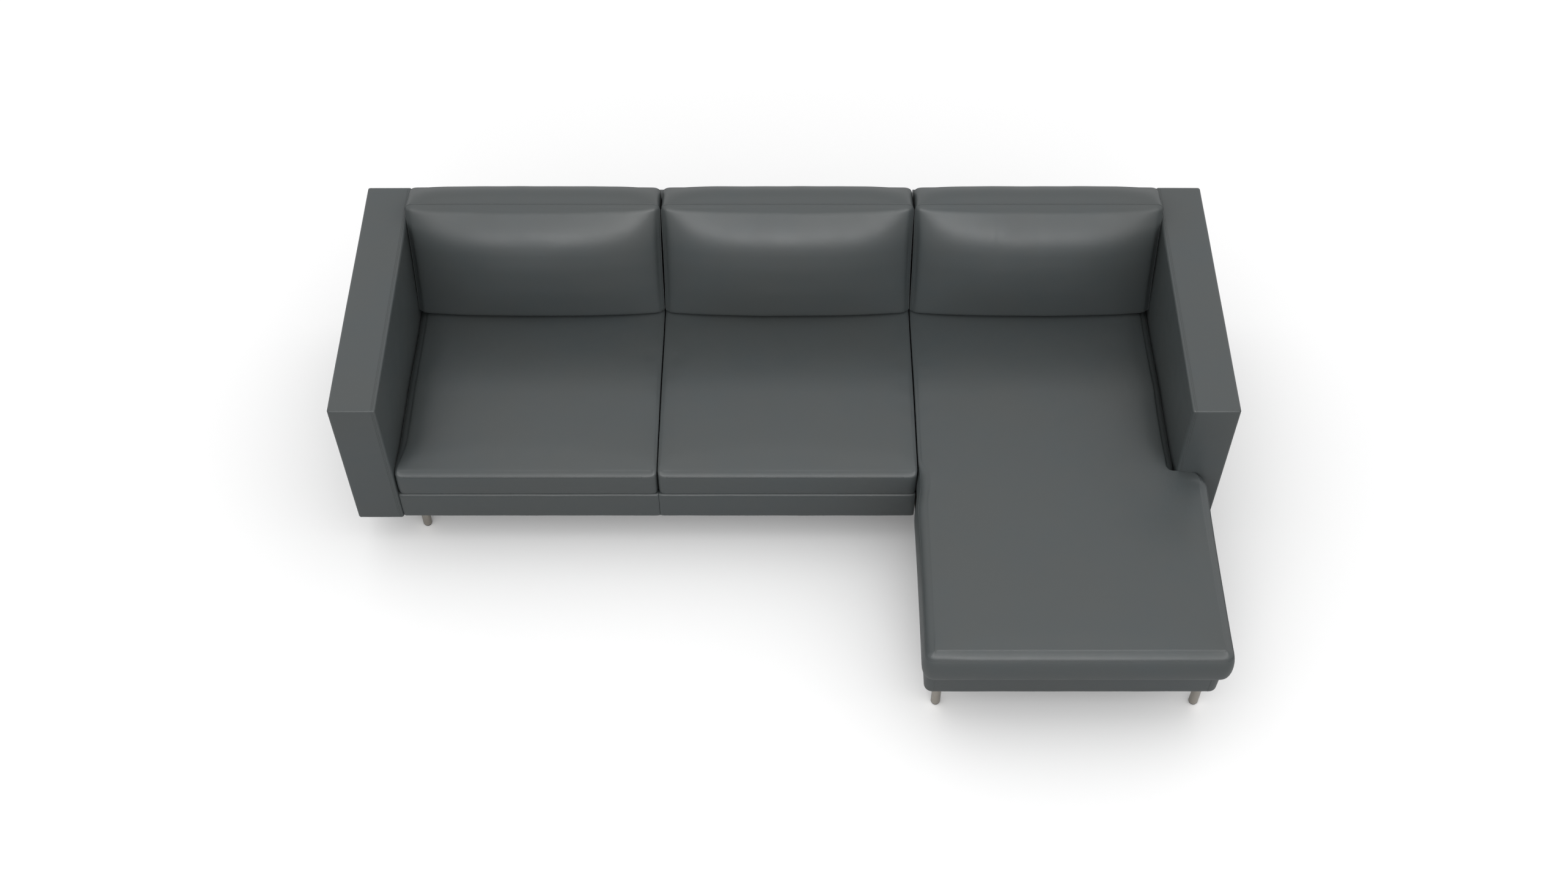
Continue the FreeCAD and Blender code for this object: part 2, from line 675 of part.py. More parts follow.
def chaise_cushion():
    """The long cushion of the chaise, a wadded leather cover round a foam core."""
    front = size("chaise_y") - size("chaise_overhang")
    depth = size("back_foot_y") - size("rest_gap") - front
    x_low = size("chaise_left") - size("chaise_left_overhang")
    x_high = size("chaise_right") + size("chaise_right_overhang")
    boxing, puff, pull = size("seat_boxing"), size("seat_puff"), size("seat_pull")
    corner, step = size("chaise_corner"), size("seat_corner")
    radii = [corner, corner, step, size("chaise_fold"), step, step, step / 2, step / 2]
    pulls = [pull / 3, pull / 2, STRAIGHT, pull, STRAIGHT, pull, STRAIGHT, pull / 2]

    def outline(share):
        seam = puff * (1 - 4 * share * (1 - share))
        corners = [(x, y - front) for x, y in chaise_plan(seam, 0)]
        return rounded_outline(corners, radii, pulls, boxing * share)
    outside = cushion_shape(outline, x_low, x_high, depth, boxing, size("seat_crown"),
                            size("seat_edge_crown"),
                            back_stand_y() - size("back_crown") - front)
    margin = size("core_margin")
    core = [Vector(x, y - front, margin / 2) for x, y in chaise_plan(puff + margin, margin)]
    hollow = Part.Face(Part.makePolygon(core + core[:1])).extrude(Vector(0, 0, boxing - margin))
    spot = (0, front, size("seat_z"))
    keep(soft("chaise_cushion_cover", outside.cut(hollow), *spot), "chaise_cushion_cover")
    keep(soft("chaise_cushion_core", hollow, *spot), "chaise_cushion_core")


def lean_angle():
    """Lean of the back in radians."""
    return math.radians(size("back_lean"))


def back_cushion_corner():
    """Rear top corner of the back cushions, as Y and Z."""
    gap = size("rest_gap") / math.cos(lean_angle())
    rise = size("back_rise")
    y = size("back_top_y") + rise * math.tan(lean_angle()) - gap
    return y, size("back_top") + rise


def back_stand_y():
    """Where the front seam of a back cushion meets the seat cushion."""
    y, z = back_cushion_corner()
    lean = lean_angle()
    seam_y = y - size("back_boxing") * math.cos(lean)
    seam_z = z + size("back_boxing") * math.sin(lean)
    return seam_y - (seam_z - size("seam_z")) * math.tan(lean)


def back_cushion(name, x_low, x_high):
    """A loose back cushion, leaning on the back and standing on its seat cushion."""
    width, depth, boxing = x_high - x_low, size("back_panel"), size("back_boxing")
    outline = rectangle_outline(width, depth, boxing, size("back_corner"), size("seat_pull"),
                                size("back_puff"))
    shape = cushion_shape(outline, -width / 2, width / 2, depth, boxing, size("back_crown"),
                          size("back_edge_crown"), depth)
    y, z = back_cushion_corner()
    lean = lean_angle()
    turn = FreeCAD.Matrix(-1, 0, 0, (x_low + x_high) / 2,
                          0, -math.sin(lean), -math.cos(lean), y,
                          0, -math.cos(lean), math.sin(lean), z,
                          0, 0, 0, 1)
    shape.transformShape(turn)
    stand = size("seam_z") + size("rest_gap")
    reach = size("body_depth")
    below = Part.makeBox(width + 2 * PAST, reach, stand, Vector(x_low - PAST, y + PAST - reach, 0))
    keep(soft(name, shape.cut(below)), name)


def sofa_module():
    """The root: left arm, two seats and the connector tongues."""
    x = ("-Places.arm_in", "Places.module_x")
    rail = "Sizes.rail_thickness"
    wood = ("Places.wood_z", "Places.rail_top")
    holes = arm("left", "-")
    right_leg_x = "Places.module_x - Sizes.leg_side_inset"
    left_leg_x = "Sizes.leg_side_inset - Places.arm_in"
    rear_leg_y = "Places.back_y - Sizes.leg_rear_inset"
    front = [(left_leg_x, "Places.rail_y + Sizes.leg_front_inset"),
             (right_leg_x, "Places.rail_y + Sizes.leg_set_back")]
    rear = [(left_leg_x, rear_leg_y), (right_leg_x, rear_leg_y)]
    spots = front + rear
    for name, spot in zip(("front_left", "front_right", "rear_left", "rear_right"), spots):
        leg("sofa_%s_leg" % name, *spot)
    glides("sofa_leg_glides", spots)
    leg_plates("sofa_leg_plates", spots)
    back("sofa", x, stud_holes(rear))

    keep(board(x, ("Places.rail_y + Sizes.cover_wall", "Places.rail_in_y"), wood),
         "sofa_front_rail")
    keep(board(x, ("Places.rear_rail_y", "Places.back_foot_y"), wood), "sofa_rear_rail")
    between = ("Places.rail_in_y", "Places.rear_rail_y")
    left_rail = cut(board((x[0], x[0] + " + " + rail), between, wood), holes)
    right_rail = board((x[1] + " - " + rail, x[1]), between, wood)
    keep(group([left_rail, right_rail]), "sofa_side_rails")
    half = "Sizes.stretcher_thickness / 2"
    stretcher_z = ("Places.wood_z", "Places.wood_z + Sizes.stretcher_height")
    keep(board(("Places.seat_split - " + half, "Places.seat_split + " + half), between,
               stretcher_z), "sofa_centre_stretcher")

    block = "Sizes.block_width"
    block_z = ("Places.wood_z", "Places.block_top")
    right_x = (x[1] + " - %s - %s" % (rail, block), x[1] + " - " + rail)
    blocks = [board((x[0] + " + " + rail, x[0] + " + %s + %s" % (rail, block)),
                    (between[0], between[0] + " + " + block), block_z),
              board(right_x, (front[1][1] + " - %s / 2" % block,
                              front[1][1] + " + %s / 2" % block), block_z)]
    keep(cut(group(blocks), stud_holes(front)), "sofa_leg_blocks")
    webbing("sofa_webbing", (-size("arm_in"), size("module_x")),
            (size("rail_y") + size("cover_flange"), size("back_foot_y")))
    keep(board(x, ("Places.rail_y + Sizes.cover_flange", "Places.back_foot_y"),
               ("Places.rail_top + 2 * Sizes.strap_thickness", "Places.deck_z")), "sofa_deck_pad")
    tongue_spots = connector_spots()
    dust = board(x, ("Places.rail_y + Sizes.cover_flange", "Places.back_foot_y"),
                 ("Places.wood_z - Sizes.dust_thickness", "Places.wood_z"))
    tail = ("Places.module_x - Sizes.tongue_tail - Sizes.fit_gap", "Places.module_x")
    slots = [board(tail, ("%s - Sizes.tongue_width / 2 - Sizes.fit_gap" % y,
                          "%s + Sizes.tongue_width / 2 + Sizes.fit_gap" % y),
                   ("Sizes.leg_height", "Places.deck_z")) for y in tongue_spots]
    keep(cut(cut(dust, plate_recesses(front)), group(slots)), "sofa_dust_cover")
    rail_cover("sofa_front_cover_left", x[0], "Places.seat_split")
    rail_cover("sofa_front_cover_right", "Places.seat_split", x[1])
    tongues = [tongue("SofaTongue%d" % number, y) for number, y in enumerate(tongue_spots)]
    keep(group(tongues), "sofa_connector_tongues")


def rail_cover(name, x_low, x_high):
    """One padded leather panel over the front rail, turned in at the top and below."""
    face, wall, flange = "Places.rail_y", " + Sizes.cover_wall", " + Sizes.cover_flange"
    low, high = "Sizes.leg_height", "Places.deck_z"
    profile = [(face, low), (face, high), (face + flange, high), (face + flange, "Places.rail_top"),
               (face + wall, "Places.rail_top"), (face + wall, "Places.wood_z"),
               (face + flange, "Places.wood_z"), (face + flange, low)]
    body = prism(name, "YZ_Plane", profile, x_low, "(%s) - (%s)" % (x_high, x_low))
    front = size("rail_y")
    ease_edges(body, "Sizes.rail_round", "Fillet",
               lambda box: near(box.YMin, front) and near(box.YMax, front) and box.XLength > 1)
    return keep(body, name)


def connector_spots():
    """Where the connectors are along Y."""
    return ["Places.front_y + Sizes.connector_front", "Places.rear_rail_y - Sizes.connector_rear"]


def tongue(name, y):
    """A joggled steel tongue with an upright pin, screwed under the sofa module."""
    edge = "Places.module_x"
    top, low_top = "Places.wood_z", "Sizes.leg_height - Sizes.rest_gap"
    thick = " - Sizes.tongue_thickness"
    start, bend = edge + " - Sizes.tongue_tail", edge + " - Sizes.module_gap"
    tip, play = edge + " + Sizes.tongue_reach", " - Sizes.fit_gap"
    profile = [(start, top), (bend, top), (edge, low_top), (tip, low_top), (tip, low_top + thick),
               (edge + play, low_top + thick), (bend + play, top + thick), (start, top + thick)]
    # The sketch plane faces the front, so its offset is the rear edge with its sign turned
    body = prism(name, "XZ_Plane", profile, "-(%s + Sizes.tongue_width / 2)" % y,
                 "Sizes.tongue_width")
    pin = rod_section(body, edge + " + Sizes.pin_reach", y, "Sizes.pin_diameter",
                      low_top + thick)
    pad(body, pin, "Sizes.tongue_thickness + Sizes.pin_height")
    peak = size("leg_height") - size("rest_gap") + size("pin_height")
    ease_edges(body, "Sizes.pin_diameter / 4", "Chamfer",
               lambda box: near(box.ZMin, peak) and near(box.ZMax, peak))
    return body


def chaise_module():
    """The module that hooks on: right arm, the chaise base and the sockets."""
    left, right, wall = "Places.chaise_left", "Places.chaise_right", "Sizes.cover_wall"
    rail, arm_in = "Sizes.rail_thickness", "Places.arm_in"
    wood = ("Places.wood_z", "Places.rail_top")
    holes = arm("right", "")
    inset = "Sizes.chaise_leg_inset"
    rear_y = "Places.back_y - Sizes.leg_rear_inset"
    front = [(left + " + " + inset, "Places.chaise_y + " + inset),
             (right + " - " + inset, "Places.chaise_y + " + inset)]
    rear = [(left + " + " + inset, rear_y), (arm_in + " - Sizes.leg_side_inset", rear_y)]
    spots = front + rear
    for name, spot in zip(("front_left", "front_right", "rear_left", "rear_right"), spots):
        leg("chaise_%s_leg" % name, *spot)
    glides("chaise_leg_glides", spots)
    leg_plates("chaise_leg_plates", spots)
    back("chaise", (left, arm_in), stud_holes(rear))

    wood_left, wood_right = left + " + " + wall, right + " - " + wall
    keep(board((wood_left, wood_right), ("Places.chaise_y + " + wall, "Places.chaise_rail_in_y"),
               wood), "chaise_front_rail")
    inner_left, inner_right = wood_left + " + " + rail, wood_right + " - " + rail
    cross_y = ("Places.front_y - " + rail, "Places.front_y")
    stretcher_z = ("Places.wood_z", "Places.wood_z + Sizes.stretcher_height")
    keep(group([board((inner_left, inner_right), cross_y, stretcher_z),
                board((wood_left, arm_in), ("Places.rear_rail_y", "Places.back_foot_y"), wood)]),
         "chaise_cross_rails")
    rear_rail = cut(board((arm_in + " - " + rail, arm_in), ("Places.front_y", "Places.rear_rail_y"),
                          wood), holes)
    keep(group([board((wood_left, inner_left), ("Places.chaise_rail_in_y", "Places.rear_rail_y"), wood),
                board((inner_right, wood_right), ("Places.chaise_rail_in_y", "Places.front_y"), wood),
                rear_rail]), "chaise_side_rails")

    block = "Sizes.block_width"
    block_z = ("Places.wood_z", "Places.block_top")
    front_y = ("Places.chaise_rail_in_y", "Places.chaise_rail_in_y + " + block)
    near_left = (inner_left, inner_left + " + " + block)
    pin_x = "Places.module_x + Sizes.pin_reach"
    sockets = [(pin_x, y) for y in connector_spots()]
    blocks = [board(near_left, front_y, block_z),
              board((inner_right + " - " + block, inner_right), front_y, block_z)]
    blocks += [board(near_left, ("%s - %s / 2" % (y, block), "%s + %s / 2" % (y, block)), block_z)
               for pin, y in sockets]
    drilled = cut(cut(group(blocks), stud_holes(front)), stud_holes(sockets, PIN_HOLE))
    keep(drilled, "chaise_blocks")
    keep(group([square_plate(x, y, PIN_HOLE) for x, y in sockets]), "chaise_connector_sockets")

    flange = "Sizes.cover_flange"
    webbing("chaise_webbing", (size("chaise_left") + size("cover_flange"), size("arm_in")),
            (size("chaise_y") + size("cover_flange"), size("back_foot_y")))
    inside = chaise_base_outline(flange, flange)
    deck = prism("ChaiseDeck", "XY_Plane", inside, "Places.rail_top + 2 * Sizes.strap_thickness",
                 "Sizes.cover_wall - 2 * Sizes.strap_thickness")
    keep(deck, "chaise_deck_pad")
    dust = prism("ChaiseDust", "XY_Plane", inside, "Places.wood_z - Sizes.dust_thickness",
                 "Sizes.dust_thickness")
    keep(cut(dust, plate_recesses(front + sockets)), "chaise_dust_cover")

    cover = document.addObject("PartDesign::Body", "ChaiseBaseShell")
    pad(cover, polygon(cover, "XY_Plane", chaise_base_outline("0", "0"), "Sizes.leg_height"),
        "Sizes.rail_height")
    front_edge = size("chaise_y")
    ease_edges(cover, "Sizes.chaise_round", "Fillet",
               lambda box: near(box.YMin, front_edge) and near(box.YMax, front_edge)
               and box.XLength < 1)
    arm_front = size("front_y")
    ease_edges(cover, "Sizes.rail_round / 2", "Chamfer",
               lambda box: near(box.ZMin, box.ZMax) and box.YMin < arm_front - 1)
    for shift, z, height in ((flange, "Sizes.leg_height", "Sizes.rail_height"),
                             (wall, "Places.wood_z", "Places.rail_top - Places.wood_z")):
        pocket(cover, polygon(cover, "XY_Plane", chaise_base_outline(shift, shift, True), z), height)
    keep(cut(cover, plate_recesses(front)), "chaise_base_cover")


def chaise_base_outline(side, front, open_end=False):
    """Plan of the chaise base, drawn in from its covered sides."""
    past = " + 1" if open_end else ""
    left, right = "Places.chaise_left + " + side, "Places.chaise_right - " + side
    return [(left, "Places.chaise_y + " + front), (right, "Places.chaise_y + " + front),
            (right, "Places.front_y"), ("Places.arm_in" + past, "Places.front_y"),
            ("Places.arm_in" + past, "Places.back_foot_y" + past),
            (left, "Places.back_foot_y" + past)]


def cushions():
    """The loose cushions on both modules."""
    gap = size("side_gap")
    left, split, end, right = -size("arm_in"), size("seat_split"), size("seat_end"), size("arm_in")
    seat_cushion("left_seat", left + gap, split - gap)
    seat_cushion("right_seat", split + gap, end - gap)
    chaise_cushion()
    back_cushion("left_back_cushion", left + gap, split - gap)
    back_cushion("middle_back_cushion", split + gap, end - gap)
    back_cushion("right_back_cushion", end + gap, right - gap)


def write_parts():
    """Check every object, then write one file for each piece."""
    document.recompute()
    for thing in document.Objects:
        if "Invalid" in thing.State or "Error" in thing.State:
            raise RuntimeError("%s failed: %s" % (thing.Label, thing.State))
    for piece in parts:
        if piece.Shape.isNull() or not piece.Shape.isValid():
            raise RuntimeError(piece.Label + " is not a valid shape")
        if not piece.Shape.Solids:
            raise RuntimeError(piece.Label + " holds no solid")
    os.makedirs("parts", exist_ok=True)
    for piece in parts:
        piece.Shape.exportStep("parts/%s.step" % piece.Label)
    print("%d pieces written" % len(parts))


sofa_module()
chaise_module()
cushions()
write_parts()
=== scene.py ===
"""Looks of the sectional sofa: its leather, cushions, seams, legs and the studio round it.

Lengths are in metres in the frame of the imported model: X along the back, Y to the back, Z up.
"""
import math

import bmesh
import bpy
import numpy as np
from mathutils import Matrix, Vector, noise
from mathutils.bvhtree import BVHTree


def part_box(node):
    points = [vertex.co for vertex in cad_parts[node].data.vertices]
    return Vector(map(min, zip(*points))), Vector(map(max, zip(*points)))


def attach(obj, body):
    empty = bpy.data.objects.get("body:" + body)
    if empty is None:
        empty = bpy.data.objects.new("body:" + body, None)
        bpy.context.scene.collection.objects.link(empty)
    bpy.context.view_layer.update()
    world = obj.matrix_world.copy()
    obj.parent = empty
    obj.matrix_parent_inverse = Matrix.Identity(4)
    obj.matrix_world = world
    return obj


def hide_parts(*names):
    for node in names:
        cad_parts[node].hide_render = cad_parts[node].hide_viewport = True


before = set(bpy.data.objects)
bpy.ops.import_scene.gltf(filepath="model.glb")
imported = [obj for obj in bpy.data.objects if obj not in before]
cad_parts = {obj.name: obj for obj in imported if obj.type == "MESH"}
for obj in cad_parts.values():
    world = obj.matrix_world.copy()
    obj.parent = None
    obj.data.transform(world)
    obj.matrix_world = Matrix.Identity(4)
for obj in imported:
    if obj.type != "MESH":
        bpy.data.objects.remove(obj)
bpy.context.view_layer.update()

MM = 0.001

# Camera, solved on the straight edges of the photograph
CAMERA_PLACE = (0.0, -3.5365, 4.9830)
CAMERA_PITCH = 37.262
CAMERA_LENS = 43.359
SENSOR = 36.0

# Shapes that the frame's boxes don't give
BACK_LEAN = math.radians(13.1)
BACK_RISE = 49 * MM
BACK_BOXING = 105 * MM
CUSHION_GAP = 0.8 * MM
ARM_ROUND = 7 * MM
RAIL_ROUND = 8 * MM
RAIL_WALL = 12 * MM
RAIL_FLANGE = 24 * MM
BASE_CORNER = 24 * MM
BACK_ROUND = 11 * MM
STITCH_LENGTH = 4.2 * MM
STITCH_PITCH = 6.0 * MM
STITCH_RADIUS = 0.45 * MM

# Colours, linear
LEATHER = (0.062, 0.068, 0.068)
LEATHER_COOL = (0.057, 0.067, 0.070)
LEATHER_WARM = (0.060, 0.067, 0.067)
THREAD = (0.045, 0.049, 0.050)
NICKEL = (0.64, 0.60, 0.54)


def low(node):
    """Lowest corner of a CAD node."""
    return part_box(node)[0]


def high(node):
    """Highest corner of a CAD node."""
    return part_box(node)[1]


# Materials


def feed(node, inputs):
    """Set a node's inputs, each from a value or from another node's socket."""
    for key, source in inputs.items():
        if hasattr(source, "links"):
            node.id_data.links.new(source, node.inputs[key])
        else:
            node.inputs[key].default_value = source


def new_material(name):
    """A material, its shader, its place in the object, and a function that adds nodes."""
    material = bpy.data.materials.new(name)
    material.use_nodes = True
    tree = material.node_tree

    def add(kind, inputs=None, **settings):
        node = tree.nodes.new(kind)
        for key, setting in settings.items():
            setattr(node, key, setting)
        feed(node, inputs or {})
        return node
    place = add("ShaderNodeTexCoord").outputs["Object"]
    return material, tree.nodes["Principled BSDF"], place, add


def dimmed(colour, share):
    """A colour times a share."""
    return [share * part for part in colour]


def blended(add, share, *colours):
    """A mix of two colours, or colour sockets, by a share."""
    first, second = [c if hasattr(c, "links") else (*c, 1.0) for c in colours]
    mix = add("ShaderNodeMix", {0: share, 6: first, 7: second}, data_type="RGBA")
    return mix.outputs[2]


def ramp(add, source, start, end, low_value=0.0, high_value=1.0):
    """A value mapped from one range to another, with no overshoot."""
    spread = add("ShaderNodeMapRange", {"Value": source, "From Min": start, "From Max": end,
                                        "To Min": low_value, "To Max": high_value})
    return spread.outputs["Result"]


def clouds(add, place, scale, detail, **more):
    """Smooth noise of a scale and detail."""
    inputs = {"Vector": place, "Scale": scale, "Detail": detail, **more}
    return add("ShaderNodeTexNoise", inputs).outputs["Fac"]


def bump(add, height, strength, distance, **more):
    """A surface direction that is rough by a height."""
    inputs = {"Height": height, "Strength": strength, "Distance": distance, **more}
    return add("ShaderNodeBump", inputs).outputs["Normal"]


def leather_material():
    """Smooth corrected leather: fine pebble grain, soft clouds of colour, rubbed edges."""
    material, shader, place, add = new_material("leather")
    cloud = clouds(add, place, 3.1, 4.0, Roughness=0.55)
    patch = clouds(add, place, 17.0, 3.0)
    tint = blended(add, ramp(add, cloud, 0.35, 0.65), LEATHER_COOL, LEATHER_WARM)
    tint = blended(add, ramp(add, patch, 0.3, 0.7, 0.0, 0.5), tint, LEATHER)
    edge = ramp(add, add("ShaderNodeNewGeometry").outputs["Pointiness"], 0.52, 0.62, 0.0, 0.3)
    pebble = add("ShaderNodeTexVoronoi", {"Vector": place, "Scale": 620.0, "Randomness": 0.9},
                 feature="DISTANCE_TO_EDGE")
    pores = clouds(add, place, 1500.0, 2.0)
    crease = clouds(add, place, 46.0, 6.0, Roughness=0.62, Distortion=0.6)
    normal = bump(add, crease, 0.10, 2.2 * MM)
    normal = bump(add, ramp(add, pebble.outputs["Distance"], 0.0, 0.12), 0.16, 0.22 * MM,
                  Normal=normal)
    normal = bump(add, pores, 0.12, 0.12 * MM, Normal=normal)
    matt = ramp(add, clouds(add, place, 9.0, 5.0), 0.3, 0.7, 0.33, 0.40)
    feed(shader, {"Base Color": blended(add, edge, tint, dimmed(LEATHER, 1.35)),
                  "Normal": normal, "Roughness": matt, "Specular IOR Level": 0.5})
    return material


def speckled_material(name, scale, detail, first, second, roughness, sharp=False, dents=0.0):
    """A plain finish with fine specks of a second colour, which may be sharp or dented."""
    material, shader, place, add = new_material(name)
    specks = clouds(add, place, scale, detail)
    share = ramp(add, specks, 0.5, 0.8) if sharp else specks
    feed(shader, {"Base Color": blended(add, share, first, second), "Roughness": roughness})
    if dents:
        feed(shader, {"Normal": bump(add, specks, dents, 0.2 * MM)})
    return material


def nickel_material():
    """Satin nickel, brushed round the tube."""
    material, shader, place, add = new_material("satin_nickel")
    stretch = add("ShaderNodeMapping", {"Vector": place, "Scale": (60.0, 60.0, 2600.0)})
    brush = clouds(add, stretch.outputs["Vector"], 1.0, 3.0)
    smudge = clouds(add, place, 55.0, 3.0)
    feed(shader, {"Base Color": blended(add, smudge, NICKEL, dimmed(NICKEL, 0.9)),
                  "Metallic": 1.0, "Roughness": ramp(add, brush, 0.3, 0.7, 0.10, 0.20),
                  "Normal": bump(add, brush, 0.08, 0.05 * MM)})
    return material


def wood_material(name, pale, dark, ring_scale):
    """Wood with growth rings drawn out along the board, and fine pores."""
    material, shader, place, add = new_material(name)
    drawn = add("ShaderNodeMapping", {"Vector": place, "Scale": (1.0, 6.0, 9.0)})
    drawn = drawn.outputs["Vector"]
    rings = add("ShaderNodeTexWave", {"Vector": drawn, "Scale": ring_scale, "Distortion": 3.5,
                                      "Detail": 3.0, "Detail Scale": 1.5})
    pores = clouds(add, drawn, 70.0, 4.0)
    grain = blended(add, rings.outputs["Fac"], pale, dark)
    pored = blended(add, ramp(add, pores, 0.55, 0.75, 0.0, 0.4), grain, dimmed(dark, 0.6))
    feed(shader, {"Base Color": pored, "Roughness": 0.62,
                  "Normal": bump(add, pores, 0.2, 0.3 * MM)})
    return material


def cloth_material(name, first, second, thread_pitch):
    """Plain woven cloth: two crossed bands of thread."""
    material, shader, place, add = new_material(name)
    scale = math.pi / thread_pitch / 10
    bands = [add("ShaderNodeTexWave", {"Vector": place, "Scale": scale, "Distortion": 0.3,
                                       "Detail": 1.0}, bands_direction=axis)
             for axis in ("X", "Y")]
    over = add("ShaderNodeMath", {0: bands[0].outputs["Fac"], 1: bands[1].outputs["Fac"]},
               operation="MAXIMUM").outputs["Value"]
    fuzz = ramp(add, clouds(add, place, 800.0, 2.0), 0.4, 0.7, 0.0, 0.4)
    woven = blended(add, over, first, second)
    feed(shader, {"Base Color": blended(add, fuzz, woven, first), "Roughness": 0.85,
                  "Normal": bump(add, over, 0.4, 0.3 * MM)})
    return material


LEATHER_SKIN = leather_material()
THREADS = speckled_material("thread", 900.0, 2.0, THREAD, dimmed(THREAD, 1.8), 0.6)
METAL = nickel_material()
STEEL = speckled_material("black_steel", 420.0, 2.0, (0.018, 0.018, 0.019),
                          (0.030, 0.030, 0.031), 0.42, dents=0.25)
NYLON = speckled_material("nylon", 160.0, 5.0, (0.016, 0.016, 0.017), (0.06, 0.06, 0.06), 0.5,
                          sharp=True)
TIMBER = wood_material("timber", (0.62, 0.44, 0.26), (0.42, 0.27, 0.14), 2.2)
PLYWOOD = wood_material("plywood", (0.66, 0.50, 0.33), (0.52, 0.37, 0.22), 3.4)
WEBBING = cloth_material("webbing", (0.025, 0.025, 0.027), (0.09, 0.09, 0.09), 1.6 * MM)
DUST_CLOTH = cloth_material("dust_cloth", (0.012, 0.012, 0.013), (0.028, 0.028, 0.03), 1.2 * MM)
DECK_CLOTH = cloth_material("deck_cloth", (0.020, 0.021, 0.022), (0.045, 0.047, 0.048), 0.9 * MM)


# Meshes


def finish_mesh(name, points, faces, material, body):
    """A shaded object that rides on a body."""
    mesh = bpy.data.meshes.new(name)
    mesh.from_pydata([tuple(point) for point in points], [], faces)
    mesh.validate()
    mesh.shade_smooth()
    mesh.materials.append(material)
    piece = bpy.data.objects.new(name, mesh)
    bpy.context.scene.collection.objects.link(piece)
    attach(piece, body)
    return piece


def weld(patches):
    """Points and quads of several grids, with shared edges welded."""
    mesh = bmesh.new()
    for patch in patches:
        rows, columns = patch.shape[:2]
        corners = [[mesh.verts.new(patch[j, i]) for i in range(columns)] for j in range(rows)]
        for j in range(rows - 1):
            for i in range(columns - 1):
                mesh.faces.new((corners[j][i], corners[j][i + 1], corners[j + 1][i + 1],
                                corners[j + 1][i]))
    bmesh.ops.remove_doubles(mesh, verts=mesh.verts[:], dist=1e-6)
    bmesh.ops.recalc_face_normals(mesh, faces=mesh.faces[:])
    mesh.verts.index_update()
    points = np.array([vert.co for vert in mesh.verts])
    faces = [tuple(vert.index for vert in face.verts) for face in mesh.faces]
    mesh.free()
    return points, faces


def skin(rings, around, flipped=False, closed=False, capped=True):
    """Quads between rings of points, with a cap on each open end."""
    quads, caps = [], []
    for first in range(rings if closed else rings - 1):
        after = (first + 1) % rings
        for k in range(around):
            beside = (k + 1) % around
            quads.append((first * around + k, after * around + k, after * around + beside,
                          first * around + beside))
    if capped and not closed:
        caps = [tuple(range(around)),
                tuple((rings - 1) * around + k for k in reversed(range(around)))]
    if flipped:
        quads = [quad[:1] + quad[:0:-1] for quad in quads]
        caps = [cap[::-1] for cap in caps]
    return quads + caps


def spread(start, end, step):
    """Even places from start to end, about a step apart."""
    count = max(1, round(abs(end - start) / step))
    return list(np.linspace(start, end, count + 1))


def run_lengths(path):
    """The distance along a path at each of its points."""
    return np.concatenate([[0], np.cumsum(np.linalg.norm(np.diff(path, axis=0), axis=1))])


ROUTE_STEP = 4 * MM


class PaddedBox:
    """A box with rounded edges whose faces swell a little, like leather over padding."""

    def __init__(self, corner_low, corner_high, radius, swell, soft=0.0):
        self.low, self.high = np.array(corner_low, float), np.array(corner_high, float)
        self.radius, self.swell, self.soft = radius, swell, soft

    def place(self, point):
        """Where a point of the sharp box goes."""
        point = np.array(point, float)
        inner = np.clip(point, self.low + self.radius, self.high - self.radius)
        out = point - inner
        length = np.linalg.norm(out)
        if length < 1e-9:
            return point
        normal = out / length
        spot = inner + normal * self.radius
        share = (2 * inner - self.low - self.high) / (self.high - self.low)
        for axis in range(3):
            amount = self.swell.get((axis, normal[axis] > 0), 0.0)
            others = [other for other in range(3) if other != axis]
            bulge = np.prod([max(0.0, 1 - share[other] ** 2) ** 0.6 for other in others])
            spot = spot + normal * amount * bulge * abs(normal[axis]) ** 4
        return spot + normal * self.soft * wave(spot, 5.5, 31.0)

    def lines(self, axis, step):
        """Grid places along an axis, closer together over the rounded edges."""
        turn = [self.radius * (1 - math.tan(math.radians(angle))) for angle in (45, 30, 15, 0)]
        start, end = self.low[axis], self.high[axis]
        middle = spread(start + self.radius, end - self.radius, step)
        return [start + t for t in turn] + middle[1:-1] + [end - t for t in reversed(turn)]

    def patches(self, step):
        """The six faces as grids."""
        lines = [self.lines(axis, step) for axis in range(3)]
        made = []
        for axis in range(3):
            first, second = [other for other in range(3) if other != axis]
            for level in (self.low[axis], self.high[axis]):
                grid = np.zeros((len(lines[first]), len(lines[second]), 3))
                for i, a in enumerate(lines[first]):
                    for j, b in enumerate(lines[second]):
                        point = [0.0, 0.0, 0.0]
                        point[axis], point[first], point[second] = level, a, b
                        grid[i, j] = self.place(point)
                made.append(grid)
        return made

    def route(self, stops):
        """Points on the surface along straight runs between stops on the sharp box."""
        points = []
        for start, end in zip(stops, stops[1:]):
            start, end = np.array(start, float), np.array(end, float)
            count = max(2, round(np.linalg.norm(end - start) / ROUTE_STEP))
            points += [self.place(start + (end - start) * k / count) for k in range(count)]
        points.append(self.place(stops[-1]))
        return np.array(points)


def unit(vectors):
    """Vectors scaled to a length of one."""
    return vectors / np.maximum(np.linalg.norm(vectors, axis=-1, keepdims=True), 1e-12)


